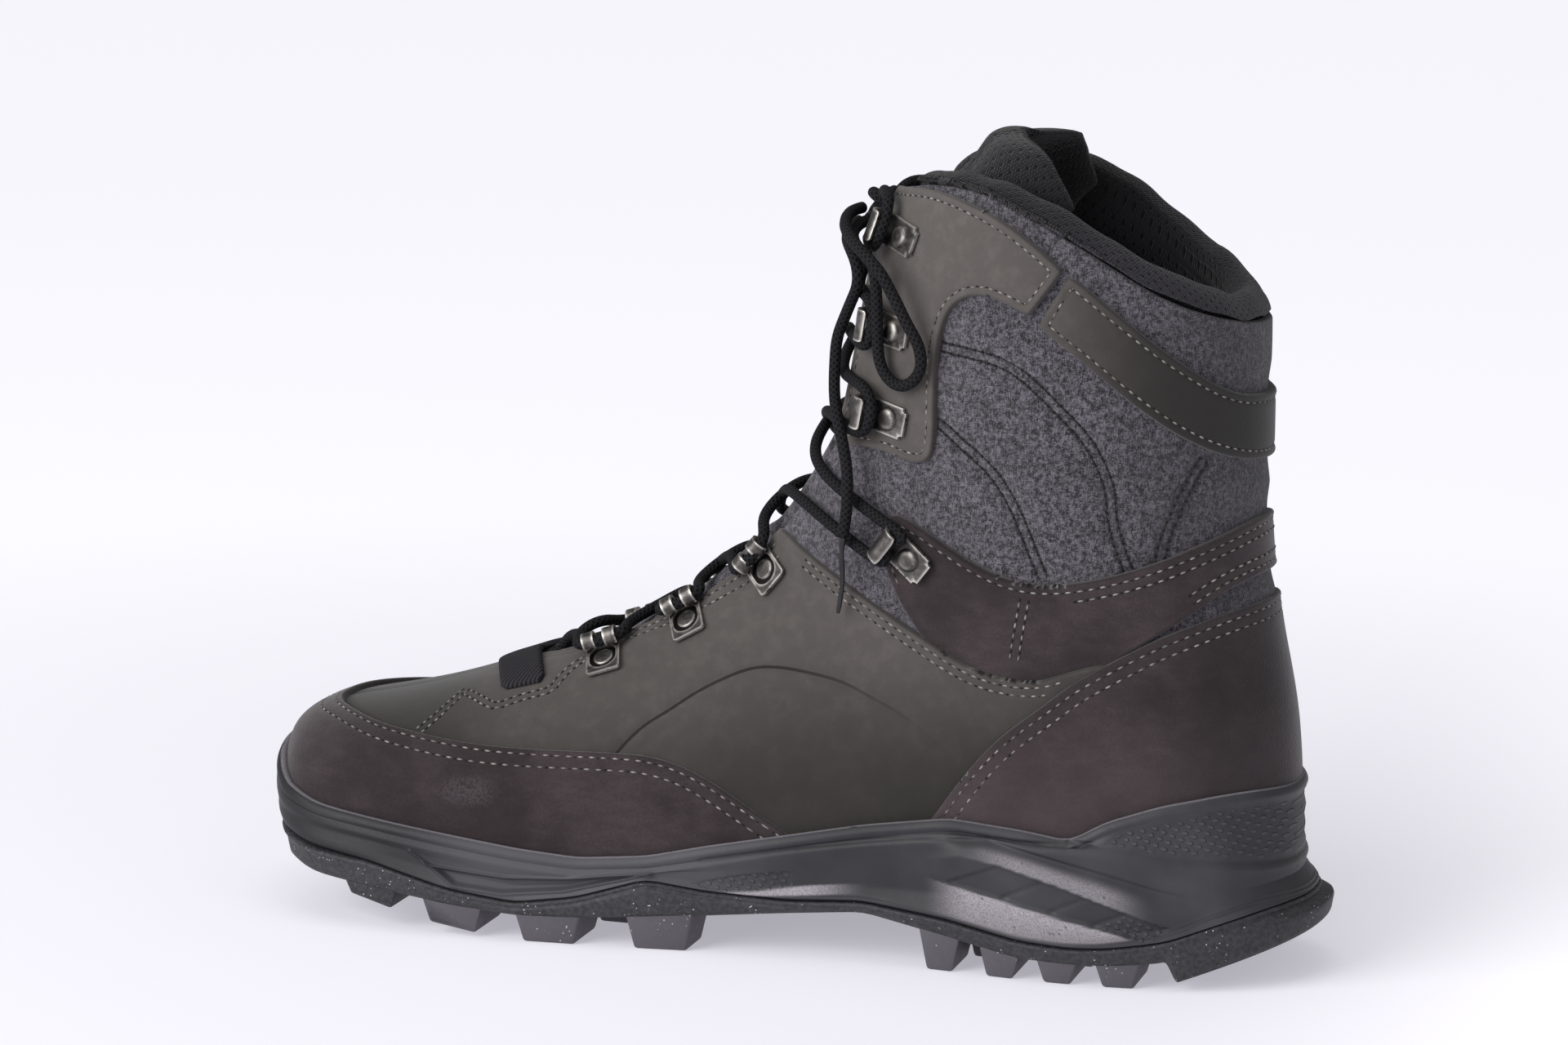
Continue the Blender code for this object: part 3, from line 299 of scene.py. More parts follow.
class Look:
    """A material and the nodes that make it."""

    def __init__(self, name, rough=0.8, metal=0.0, **fixed):
        self.material = bpy.data.materials.new(name)
        self.material.use_nodes = True
        self.tree = self.material.node_tree
        self.shader = self.tree.nodes["Principled BSDF"]
        self.set(Roughness=rough, Metallic=metal, **fixed)
        self.place = self.node("ShaderNodeTexCoord", output="Object")

    def put(self, socket, value):
        if isinstance(value, Value):
            self.tree.links.new(value.socket, socket)
        else:
            socket.default_value = value

    def set(self, **values):
        for name, value in values.items():
            self.put(self.shader.inputs[name.replace("_", " ")], value)

    def node(self, kind, settings=(), values=(), output=0):
        node = self.tree.nodes.new(kind)
        for name, value in dict(settings).items():
            setattr(node, name, value)
        for name, value in dict(values).items():
            self.put(node.inputs[name], value)
        return Value(self, node.outputs[output])

    def math(self, operation, *values):
        return self.node("ShaderNodeMath", {"operation": operation}, dict(enumerate(values)))

    def noise(self, scale, detail=2.0, rough=0.5, place=None):
        return self.node("ShaderNodeTexNoise", {}, {
            "Vector": place or self.place, "Scale": scale, "Detail": detail, "Roughness": rough})

    def stretched(self, scales, turn=(0, 0, 0)):
        return self.node("ShaderNodeMapping", {}, {"Vector": self.place, "Scale": scales, "Rotation": turn})

    def band(self, value, low, high):
        """0 under low and 1 over high, with a soft step between them."""
        return self.node("ShaderNodeMapRange", {"interpolation_type": "SMOOTHSTEP"},
                         {"Value": value, "From Min": low, "From Max": high})

    def mix(self, share, first, second):
        return self.node("ShaderNodeMix", {"data_type": "RGBA"}, {0: share, 6: first, 7: second}, output=2)

    def attribute(self, name):
        return self.node("ShaderNodeAttribute", {"attribute_name": name}, output="Fac")

    def split(self, value):
        node = self.tree.nodes.new("ShaderNodeSeparateXYZ")
        self.put(node.inputs[0], value)
        return [Value(self, socket) for socket in node.outputs]

    def relief(self, height, distance, strength=1.0):
        """A fine bump, with its height in millimetres."""
        self.set(Normal=self.node("ShaderNodeBump", {}, {
            "Height": height, "Distance": distance * MM, "Strength": strength}, output="Normal"))


def wool_look():
    look = Look("wool_felt", rough=0.95, Sheen_Weight=0.2, Sheen_Roughness=0.6, Specular_IOR_Level=0.1)
    clump = look.noise(720, 3, 0.6)
    grain = look.noise(2300, 3, 0.7)
    hair = look.noise(1, 2, 0.6, look.stretched((4600, 1000, 700), (0.4, 0.7, 0.2)))
    cross = look.noise(1, 2, 0.6, look.stretched((800, 700, 4500), (0.9, 0.1, 0.6)))
    tone = 0.28 * clump + 0.28 * grain + 0.24 * hair + 0.20 * cross
    colour = look.mix(look.band(tone, 0.43, 0.6), srgb(27, 23, 28), srgb(114, 110, 119))
    x, _, _ = look.split(look.place)
    # Random mottling, and painted shade that darkens the wool towards the heel.
    shade = 0.2 * look.band(look.noise(60, 2), 0.3, 0.75) + 0.35 * look.band(x, 0.085, 0.125)
    look.set(Base_Color=look.mix(shade, colour, srgb(34, 32, 37)))
    look.relief(tone, 1.6, 0.8)
    return look.material


def suede_look():
    look = Look("suede", rough=0.96, Sheen_Weight=0.35, Sheen_Roughness=0.45, Specular_IOR_Level=0.1)
    patch = look.noise(34, 3, 0.6)
    nap = look.noise(1500, 2, 0.6)
    streak = look.noise(1, 3, 0.6, look.stretched((160, 160, 420), (0.2, 0.5, 0.0)))
    colour = look.mix(look.band(patch, 0.35, 0.68), srgb(48, 41, 43), srgb(64, 56, 58))
    brushed = look.band(0.5 * nap + 0.5 * streak, 0.38, 0.66)
    colour = look.mix(brushed, look.mix(0.35, colour, srgb(30, 24, 26)), colour)
    x, y, z = look.split(look.place)
    # Painted light: paler low down towards the heel, standing in for light thrown up from the floor.
    colour = look.mix(0.34 * look.band(x, -0.02, 0.05) * look.band(z, 0.09, 0.03), colour, srgb(86, 76, 79))
    # Painted shade: darker low at the back of the heel.
    colour = look.mix(0.4 * look.band(x, 0.1, 0.135) * look.band(z, 0.12, 0.09), colour, srgb(26, 23, 24))
    # Painted shade along the panel's cut edge, where it meets the piece below.
    colour = look.mix(0.5 * look.attribute("edge"), colour, srgb(20, 16, 17))
    along, up = (x + 0.082) * 150 + 0.5 * patch, (z - 0.0424) * 300 + streak
    scuff = look.band(along * along + up * up, 2.4, 0.0) * look.band(y, 0, -0.01) * look.band(nap, 0.3, 0.6)
    look.set(Base_Color=look.mix(0.09 * scuff, colour, srgb(150, 140, 146)))
    look.relief(0.6 * nap + 0.4 * streak, 0.5, 0.6)
    return look.material


def nubuck_look():
    """Nubuck with painted light and shade: paler towards the top, and darker near the sole and at the heel.
    """
    look = Look("nubuck", rough=0.82, Sheen_Weight=0.2, Sheen_Roughness=0.5, Specular_IOR_Level=0.22)
    x, _, z = look.split(look.place)
    patch = look.noise(26, 4, 0.6)
    grain = look.noise(1900, 2, 0.6)
    # Painted light and shade: paler high up and low on the front of the vamp; darker near the sole, at the
    # toe, towards the heel and at the back of the cuff.
    painted_light = 0.85 * look.band(z, 0.042, 0.094) + 0.4 * look.band(z, 0.12, 0.2) - 0.33
    front = 0.33 * look.band(x, 0.01, -0.05) - 0.48 * look.band(x, -0.07, -0.105)
    painted_light = painted_light + look.band(z, 0.085, 0.06) * front - 0.3 * look.band(x, 0.03, 0.1)
    painted_light = painted_light - 0.85 * look.band(x, 0.06, 0.11) * look.band(z, 0.13, 0.15)
    colour = look.mix(look.band(painted_light + 0.5 * patch, -0.4, 1.3), srgb(35, 33, 31), srgb(88, 83, 80))
    cloud = look.band(look.noise(210, 3, 0.65), 0.42, 0.7)
    colour = look.mix(cloud, look.mix(0.22, colour, srgb(36, 33, 32)), colour)
    # Painted shade: near black along the groove of the vamp's arc line.
    crease = look.math("ABSOLUTE", look.attribute("crease"))
    painted_groove_shade = look.band(crease, 0.62, 0.22) * look.band(x, 0.055, -0.005)
    colour = look.mix(0.85 * painted_groove_shade, colour, srgb(9, 8, 8))
    # Painted shade along the panel's cut edge, where it meets the piece below.
    look.set(Base_Color=look.mix(0.5 * look.attribute("edge"), colour, srgb(18, 17, 16)))
    look.relief(grain, 0.25, 0.5)
    return look.material


def knit_look(name, hole_pitch, colour, hole, rib):
    """Black spacer mesh: small dark holes in staggered rows, with ribs between them."""
    look = Look(name, rough=0.9, Sheen_Weight=0.15, Specular_IOR_Level=0.2)
    across, along, _ = look.split(look.node("ShaderNodeTexCoord", output="UV"))
    turn = 2 * np.pi / hole_pitch
    dots = look.math("COSINE", across * turn) * look.math("COSINE", along * turn)
    holes = look.band(dots, 0.45, 0.75)
    ribs = look.math("SINE", across * (turn * 4)) * look.math("SINE", along * (turn * 2))
    grain = look.noise(1800, 2, 0.6)
    _, y, z = look.split(look.place)
    # Painted shade: darker at the top of the tongue and collar, and on the far side.
    shade = 0.8 * look.band(z, 0.195, 0.212) + 0.4 * look.band(y, 0.0, 0.02)
    cloth = look.mix(look.band(grain, 0.35, 0.7) * (1 - shade), rib, colour)
    look.set(Base_Color=look.mix(0.5 * shade, look.mix(holes, cloth, hole), hole))
    look.relief(0.35 * ribs + 0.3 * grain - 1.2 * holes, 0.5, 0.8)
    return look.material


def sole_look():
    """Moulded rubber: satin, with stippled fields, and slopes that are frosted pale and carry painted
    highlights.
    """
    look = Look("sole_rubber", rough=0.5, Specular_IOR_Level=0.26)
    grain = look.noise(900, 3, 0.6)
    spark = look.noise(3600, 2, 0.7)
    patch = look.noise(40, 3, 0.6)
    frost_and_highlight, stipple = look.attribute("frost_and_highlight"), look.attribute("stipple")
    x, _, z = look.split(look.place)
    lean = look.math("SINE", x * 1750 + z * 900) * look.math("SINE", z * 2100 - x * 500)
    dots = look.band(lean, 0.1, 0.6) * stipple
    pale = look.band(patch + 0.5 * look.band(x, 0.02, -0.03), 0.3, 0.95)
    colour = look.mix(pale, srgb(51, 51, 54), srgb(71, 70, 74))
    toe = 0.9 * look.band(x, -0.075, -0.105)
    arch = 0.4 * look.band(x, -0.015, 0.01) * look.band(x, 0.07, 0.04)
    colour = look.mix(toe + arch, colour, srgb(27, 27, 29))
    colour = look.mix(0.25 * dots, colour, srgb(96, 95, 98))
    # Frosted texture and painted highlights on slopes that face up, on the rim and along the arch.
    colour = look.mix(frost_and_highlight * (0.35 + 0.65 * look.band(spark, 0.32, 0.62)), colour, srgb(170, 164, 171))
    look.set(Base_Color=colour, Roughness=0.42 + 0.16 * grain + 0.12 * stipple + 0.1 * frost_and_highlight)
    look.relief(0.12 * grain + 1.1 * dots + 0.2 * frost_and_highlight * spark, 0.5, 0.8)
    return look.material


def tread_look():
    look = Look("tread_rubber", rough=0.6, Specular_IOR_Level=0.4)
    grain = look.noise(800, 3, 0.6)
    cells = look.node("ShaderNodeTexVoronoi", {"feature": "F1"},
                      {"Vector": look.place, "Scale": 760, "Randomness": 1.0})
    specks = look.band(cells, 0.17, 0.1) * look.band(look.noise(150, 3), 0.5, 0.6)
    # Painted light: the lugs are paler than the rest of the tread, for the light the floor throws on them.
    colour = look.mix(look.attribute("lug"), srgb(35, 35, 38), srgb(78, 75, 81))
    dusty = look.mix(0.3 * look.band(grain, 0.3, 0.7), colour, srgb(86, 84, 90))
    look.set(Base_Color=look.mix(specks, dusty, srgb(190, 190, 188)))
    look.relief(grain, 0.2, 0.6)
    return look.material


def metal_look():
    look = Look("gunmetal", rough=0.36, metal=1.0)
    wear = look.noise(300, 4, 0.65)
    fine = look.noise(1500, 2, 0.6)
    wear_and_painted_light = look.attribute("wear_and_painted_light")
    plated = look.mix(look.band(wear, 0.42, 0.66), srgb(76, 73, 72), srgb(108, 104, 101))
    # Painted shade where the mark is below zero: a ring disc's flange, darkened as in a recess.
    plated = look.mix(look.band(wear_and_painted_light, -0.2, -0.8), plated, srgb(34, 33, 33))
    # Bare metal where the plating is worn; on rivet heads this ring is partly a painted highlight.
    bare = look.math("MAXIMUM", wear_and_painted_light, 0) * look.band(wear, 0.3, 0.5)
    look.set(Base_Color=look.mix(bare, plated, srgb(186, 182, 176)), Roughness=0.3 + 0.3 * fine)
    look.relief(fine, 0.03, 0.4)
    return look.material


def braid_look(name, pitch, strands, colour, light):
    """A round braid: two sets of strands that cross, along the cord and round it."""
    look = Look(name, rough=0.8, Specular_IOR_Level=0.15)
    along, turn, _ = look.split(look.node("ShaderNodeTexCoord", output="UV"))
    run, lean = along * (2 * np.pi / pitch), turn * (2 * np.pi * strands)
    weave = look.math("MAXIMUM", look.math("SINE", run + lean), look.math("SINE", run - lean))
    grain = look.noise(2200, 2, 0.6)
    look.set(Base_Color=look.mix(look.band(weave + 0.4 * grain, 0.1, 1.2), colour, light))
    look.relief(weave + 0.3 * grain, 0.25, 0.7)
    return look.material


def webbing_look():
    """A flat twill: fine slanted ribs that cross its length."""
    look = Look("woven_webbing", rough=0.85, Specular_IOR_Level=0.15)
    across, along, _ = look.split(look.node("ShaderNodeTexCoord", output="UV"))
    turns_across, turns_along = STRAP_PER_V / 1.6, STRAP_PER_U / 0.8
    ribs = look.math("SINE", across * (2 * np.pi * turns_across) + along * (2 * np.pi * turns_along))
    grain = look.noise(1900, 2, 0.6)
    # Painted light and shade along the ribs: paler crests and darker troughs, with grain tone.
    wear_and_painted_light = look.band(0.5 * ribs + grain, -0.1, 1.0)
    look.set(Base_Color=look.mix(wear_and_painted_light, srgb(26, 25, 27), srgb(52, 50, 54)))
    look.relief(0.5 * ribs + 0.5 * grain, 0.4, 0.8)
    return look.material


def thread_look(name, first, second):
    look = Look(name, rough=0.7, Specular_IOR_Level=0.3)
    twist = look.noise(2600, 2, 0.6)
    look.set(Base_Color=look.mix(look.band(look.noise(190, 2), 0.4, 0.65), first, second))
    look.relief(twist, 0.1, 0.5)
    return look.material


def plain_look(name, first, second, rough, **fixed):
    look = Look(name, rough=rough, **fixed)
    look.set(Base_Color=look.mix(look.band(look.noise(120, 3, 0.6), 0.35, 0.65), first, second))
    return look.material


WOOL, SUEDE, NUBUCK = wool_look(), suede_look(), nubuck_look()
MESH = knit_look("spacer_mesh", 3.4, srgb(46, 43, 49), srgb(5, 5, 6), srgb(32, 30, 34))
LINING = knit_look("lining_mesh", 4.2, srgb(32, 31, 34), srgb(3, 3, 4), srgb(22, 21, 23))
SOLE, TREAD, METAL = sole_look(), tread_look(), metal_look()
CORD = braid_look("braided_cord", 1.7, 5, srgb(11, 11, 12), srgb(31, 31, 34))
WEBBING = webbing_look()
LIGHT_THREAD = thread_look("light_thread", srgb(108, 104, 100), srgb(142, 138, 133))
DARK_THREAD = thread_look("dark_thread", srgb(29, 28, 31), srgb(46, 45, 49))
# Painted shade: dark dots where the stitches sink into their needle holes.
HOLE_SHADE = plain_look("needle_hole_shade", srgb(10, 9, 9), srgb(16, 15, 15), 0.95)
TIP = plain_look("cord_tip", srgb(14, 14, 15), srgb(22, 22, 24), 0.25)

# Making and placing pieces


def add_piece(name, mesh, materials, replaces=(), uv=None, attributes=()):
    """Finishes a mesh as a piece of the boot. uv and attributes hold values for each vertex."""
    data = bpy.data.meshes.new(name)
    mesh.to_mesh(data)
    mesh.free()
    data.shade_smooth()
    for material in materials if isinstance(materials, (list, tuple)) else [materials]:
        data.materials.append(material)
    corners = np.empty(len(data.loops), int)
    data.loops.foreach_get("vertex_index", corners)
    if uv is not None:
        data.uv_layers.new(name="UVMap").data.foreach_set("uv", np.ascontiguousarray(uv[corners]).ravel())
    for key, values in dict(attributes).items():
        layer = data.attributes.new(key, "FLOAT", "POINT")
        layer.data.foreach_set("value", np.ascontiguousarray(values, np.float32))
    piece = bpy.data.objects.new(name, data)
    bpy.context.scene.collection.objects.link(piece)
    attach(piece, "root")
    if replaces:
        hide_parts(*replaces)
    return piece


def flat_grid(window):
    """A flat grid over a window of the last; x holds v and y holds u."""
    mesh = bmesh.new()
    bmesh.ops.create_grid(mesh, x_segments=window.v_steps, y_segments=window.u_steps, size=0.5)
    spread = Matrix.Diagonal((window.v1 - window.v0, window.u1 - window.u0, 1, 1))
    middle = Matrix.Translation(((window.v0 + window.v1) / 2, (window.u0 + window.u1) / 2, 0))
    bmesh.ops.transform(mesh, matrix=middle @ spread, verts=mesh.verts)
    return mesh


def place_verts(mesh, points):
    """Moves the vertices of a mesh to points in millimetres."""
    for vert, point in zip(mesh.verts, world(points)):
        vert.co = point


def closed_grid(rows, columns, place, uv_place=None, flip=False):
    """A grid moved to place(row, column) in millimetres and welded where it closes.

    Rows and columns are counted from 0 to 1.
    """
    mesh = bmesh.new()
    bmesh.ops.create_grid(mesh, x_segments=columns, y_segments=rows, size=0.5)
    flat = np.array([vert.co for vert in mesh.verts]) + 0.5
    across = np.rint(flat[:, 0] * columns) / columns
    along = np.rint(flat[:, 1] * rows) / rows
    place_verts(mesh, place(along, across))
    if uv_place is not None:
        marks = uv_place(along, across)
        layer = mesh.loops.layers.uv.new("UVMap")
        mesh.verts.index_update()
        for face in mesh.faces:
            for corner in face.loops:
                corner[layer].uv = marks[corner.vert.index]
    bmesh.ops.remove_doubles(mesh, verts=mesh.verts, dist=0.002 * MM)
    bmesh.ops.dissolve_degenerate(mesh, edges=mesh.edges, dist=0.001 * MM)
    if flip:
        bmesh.ops.reverse_faces(mesh, faces=mesh.faces)
    return mesh


def spots_of(verts):
    """The v, u and ring number that the vertices of a flat grid hold."""
    return np.array([vert.co for vert in verts]).reshape(-1, 3).T


Window = namedtuple("Window", "u0 u1 u_steps v0 v1 v_steps")
Ring = namedtuple("Ring", "depth share")
# The rounded edge of a cut sheet: how far inside the cut a ring lies, and its share of the sheet's height
CUT_EDGE = [
    Ring(1.0, 1.0), Ring(0.62, 0.97), Ring(0.3, 0.84), Ring(0.1, 0.55), Ring(0.0, 0.1), Ring(-0.05, -0.25),
]
REACH = 1e-3
TINY = 1e-6
NO_CREASE = 9.0


def around_spot(depth, u, v):
    """The depth at a spot, its change with u and v, and the surface's metric there."""
    us = u + REACH * np.array([0, 1, -1, 0, 0])[:, None]
    vs = v + REACH * np.array([0, 0, 0, 1, -1])[:, None]
    points = last(us, vs)
    deep = depth(points, us, vs)
    by_u, by_v = (deep[1] - deep[2]) / (2 * REACH), (deep[3] - deep[4]) / (2 * REACH)
    along, across = (points[1] - points[2]) / (2 * REACH), (points[3] - points[4]) / (2 * REACH)
    e, f, g = (along * along).sum(-1), (along * across).sum(-1), (across * across).sum(-1)
    return deep[0], by_u, by_v, e, f, g


def slide(depth, u, v, level, rounds=5):
    """Moves spots over the surface, straight towards the line at that depth."""
    u, v = np.array(u, float), np.array(v, float)
    for _ in range(rounds):
        deep, a, b, e, f, g = around_spot(depth, u, v)
        area = np.maximum(e * g - f * f, 1e-6)
        du, dv = (g * a - f * b) / area, (e * b - f * a) / area
        steep = np.maximum(a * du + b * dv, 0.04)
        pull = np.clip((level - deep) / steep, -4, 4)
        u, v = u + pull * du, v + pull * dv
    return u, v


def cut_away(mesh, within):
    """Deletes the faces that have no vertex within the cut."""
    mesh.verts.index_update()
    outer = [face for face in mesh.faces if not any(within[vert.index] for vert in face.verts)]
    bmesh.ops.delete(mesh, geom=outer, context="FACES")


def panel(name, window, depth, base, top, material, replaces=(), rings=CUT_EDGE, crease=None):
    """A sheet on the last, cut where depth is 0, with a rounded edge.

    base and top are heights over the last.
    """
    mesh = flat_grid(window)
    v, u, _ = spots_of(mesh.verts)
    cut_away(mesh, depth(last(u, v), u, v) > rings[0].depth)
    verts = list(mesh.verts)
    v, u, _ = spots_of(verts)
    sides = (v - window.v0, v - window.v1, u - window.u0, u - window.u1)
    border = np.abs(sides).min(0) < TINY
    mesh.verts.index_update()
    edges = [edge for edge in mesh.edges
             if edge.is_boundary and not all(border[vert.index] for vert in edge.verts)]
    move = np.flatnonzero(depth(last(u, v), u, v) < rings[0].depth)
    u[move], v[move] = slide(depth, u[move], v[move], rings[0].depth)
    for k in move:
        verts[k].co = v[k], u[k], 0
    for number, ring in enumerate(rings[1:], 1):
        grown = bmesh.ops.extrude_edge_only(mesh, edges=edges)["geom"]
        edges = [item for item in grown if isinstance(item, bmesh.types.BMEdge)]
        verts = [item for item in grown if isinstance(item, bmesh.types.BMVert)]
        v, u, _ = spots_of(verts)
        u, v = slide(depth, u, v, ring.depth)
        for vert, spot in zip(verts, zip(v, u)):
            vert.co = *spot, number
    v, u, ring = spots_of(mesh.verts)
    points = last(u, v)
    deep = depth(points, u, v)
    share = np.array([row.share for row in rings])[np.rint(ring).astype(int)]
    low = base(points, u, v)
    out = low + share * (top(points, u, v, np.maximum(deep, 0)) - low)
    place_verts(mesh, on_last(u, v, out))
    folds = crease(points, u, v) if crease else np.full(u.shape, NO_CREASE)
    # edge marks a band along the cut, which the leather looks darken as painted shade.
    marks = {"edge": smooth_step(0.85, 0.1, deep), "crease": folds}
    order = mesh.verts.layers.int.new("order")
    for k, vert in enumerate(mesh.verts):
        vert[order] = k
    tip = [vert for vert, at_tip in zip(mesh.verts, u < TINY) if at_tip]
    bmesh.ops.remove_doubles(mesh, verts=tip, dist=0.02 * MM)
    kept = [vert[order] for vert in mesh.verts]
    mesh.verts.layers.int.remove(order)
    return add_piece(name, mesh, material, replaces, np.column_stack([v, u])[kept],
                     {key: values[kept] for key, values in marks.items()})


def outline_depth(points, rounds=2):
    """How far inside a closed side-view outline a spot is, along the skin, with its corners eased."""
    line = np.array([(p[0], p[1]) for p in points], float)
    for _ in range(rounds):
        after = np.roll(line, -1, axis=0)
        line = np.stack([0.75 * line + 0.25 * after, 0.25 * line + 0.75 * after], 1).reshape(-1, 2)

    def depth(points, u, v):
        far, aim_x, aim_z = signed_distance(line, points[..., 0], points[..., 2])
        normal = last_normal(u, v)
        slope = 1 - (aim_x * normal[..., 0] + aim_z * normal[..., 2]) ** 2
        return far / np.sqrt(np.maximum(slope, 0.06))

    return depth


def signed_distance(line, x, z):
    """The distance inside a closed line, and the direction in which it changes."""
    spots = np.column_stack([np.ravel(x), np.ravel(z)])
    after = np.roll(line, -1, axis=0)
    found = [block_distance(line, after, block) for block in np.array_split(spots, len(spots) // 8000 + 1)]
    return [values.reshape(np.shape(x)) for values in np.concatenate(found, axis=1)]


def block_distance(line, after, spots):
    run = after - line
    gap = spots[:, None] - line
    share = np.clip((gap * run).sum(-1) / np.maximum((run * run).sum(-1), 1e-9), 0, 1)
    gap = gap - share[..., None] * run
    nearest = (gap ** 2).sum(-1).argmin(1)
    gap = gap[np.arange(len(spots)), nearest]
    far = np.maximum(np.linalg.norm(gap, axis=1), 1e-6)
    x, z = spots[:, :1], spots[:, 1:]
    rise = np.where(np.abs(run[:, 1]) < 1e-9, 1e-9, run[:, 1])
    cross = ((line[:, 1] > z) != (after[:, 1] > z)) & (x < line[:, 0] + (z - line[:, 1]) / rise * run[:, 0])
    return np.array([np.where(cross.sum(1) % 2 == 1, far, -far), gap[:, 0] / far, gap[:, 1] / far])


def line_distance(points, x, z):
    """The distance in side view from an open line."""
    line = np.array(points, float)
    start, run = line[:-1], np.diff(line, axis=0)
    far = np.full(np.shape(x), np.inf)
    for a, r in zip(start, run):
        share = np.clip(((x - a[0]) * r[0] + (z - a[1]) * r[1]) / (r @ r), 0, 1)
        far = np.minimum(far, np.hypot(x - a[0] - share * r[0], z - a[1] - share * r[1]))
    return far


def side_curve(points, count):
    """More points along a smooth line through side-view points."""
    columns = [spline([p[k] for p in points]) for k in (0, 1)]
    steps = np.linspace(0, len(points) - 1, count)
    return side_points(*np.stack([at(steps) for at in columns], -1))


# The lace: routes close to those of the part's solids

Plate = namedtuple("Plate", "name u v over")
PLATES = [
    Plate("lace_ring_1", 8.15, 0.158, VAMP_STEP),
    Plate("lace_ring_2", 10.0, 0.142, VAMP_STEP + 0.2),
    Plate("lace_ring_3", 12.15, 0.146, VAMP_STEP + 0.45),
    Plate("ankle_hook", 14.45, 0.352, OVERLAY + GAP + 0.9),
    Plate("shaft_hook_1", 17.0, 0.285, OVERLAY + GAP),
    Plate("shaft_hook_2", 18.65, 0.262, OVERLAY + GAP),
    Plate("shaft_hook_3", 20.4, 0.235, OVERLAY + GAP),
]
Curl = namedtuple("Curl", "plate_long plate_wide thick radius turn")
RING_CURL = Curl(10.0, 9.0, 1.0, 2.3, 285)
HOOK_CURL = Curl(12.0, 8.6, 1.0, 3.1, 205)
LACE_RADIUS = 1.6
Crossing = namedtuple("Crossing", "along across out")
LACE_OVER = [Crossing(0.25, 0.25, 3.0), Crossing(0.5, 0.5, 1.6), Crossing(0.75, 0.75, 3.0)]
INSTEP_OVER = [Crossing(0.36, 0.17, 2.8), Crossing(0.68, 0.34, 1.8), Crossing(0.88, 0.64, 3.0)]
LACE_REACH = 0.6
ANKLE_PULL = 0.6
ANKLE_TURN = 36
LacePoint = namedtuple("LacePoint", "u v out")


def lace_points(*rows):
    """Points of a lace's route over the last."""
    return [LacePoint(*row) for row in rows]


LACE_START = lace_points(
    (6.78, -0.012, -0.6), (6.8, 0.012, -0.6), (6.98, 0.026, -0.3), (7.26, 0.046, 3.1),
    (7.56, 0.078, 4.1),
)
LACE_STOP = lace_points((21.0, 0.15, 4.6), (20.95, 0.1, 3.6), (20.82, 0.066, 2.8))
KNOT_SECTION, KNOT_OVER = 20.45, 2.5
LOOP = lace_points(
    (20.28, 0.066, 3.0), (20.16, 0.1, 6.0), (20.03, 0.14, 8.4), (19.93, 0.19, 9.6), (19.79, 0.232, 9.2),
    (19.47, 0.243, 8.0), (19.18, 0.247, 7.2), (18.77, 0.252, 6.5), (18.36, 0.257, 5.8),
    (18.07, 0.2632, 5.2), (17.86, 0.2764, 4.6), (17.77, 0.296, 4.3), (17.83, 0.3136, 4.3),
    (18.02, 0.3288, 4.4), (18.29, 0.3366, 4.7), (18.55, 0.334, 5.2), (18.77, 0.326, 6.0),
    (19.02, 0.311, 7.2), (19.3, 0.295, 8.4), (19.56, 0.279, 9.8), (19.79, 0.262, 11.4),
    (20.0, 0.22, 12.8), (20.15, 0.165, 12.4), (20.3, 0.11, 10.0), (20.4, 0.066, 6.8),
)
END = lace_points(
    (20.1, 0.04, 6.6), (19.98, 0.08, 8.0), (19.85, 0.13, 8.8), (19.66, 0.18, 8.6), (19.31, 0.195, 7.8),
    (18.92, 0.178, 7.0), (18.54, 0.16, 6.8), (18.22, 0.153, 7.2), (17.95, 0.153, 7.3),
    (17.66, 0.159, 7.2), (17.23, 0.171, 7.0), (16.9, 0.188, 7.2), (16.68, 0.206, 7.8),
    (16.4, 0.223, 8.0), (16.09, 0.238, 7.9), (15.79, 0.252, 8.1), (15.5, 0.263, 8.5), (15.16, 0.27, 8.8),
    (14.86, 0.273, 8.8), (14.55, 0.274, 9.0), (14.22, 0.274, 9.1), (13.87, 0.274, 8.5),
    (13.36, 0.274, 6.3), (12.83, 0.275, 4.8), (12.7, 0.276, 4.6),
)
TIP_LENGTH, TIP_RADIUS, TIP_OVERLAP = 22.0, 0.68, 2.5


def plate_frame(row, side):
    """A plate's centre on the upper and its axes: towards the throat, along the throat and out."""
    u, v = np.array(row.u), np.array(side * row.v)
    out = last_normal(u, v)
    ahead = last_ahead(u, v, out)
    across = side * np.cross(out, ahead)
    turn = np.radians(ANKLE_TURN if "ankle" in row.name else 0)
    across, ahead = np.cos(turn) * across + np.sin(turn) * ahead, np.cos(turn) * ahead - np.sin(turn) * across
    return on_last(u, v, row.over + GAP), across, ahead, out


def curl_centre(place, curl):
    centre, across, _, out = place
    return centre + curl.plate_long / 2 * across + (curl.thick / 2 + curl.radius) * out


def curl_of(row):
    return RING_CURL if "ring" in row.name else HOOK_CURL


def lace_route(points, side):
    return [on_last(p.u, side * p.v, p.out) for p in points]


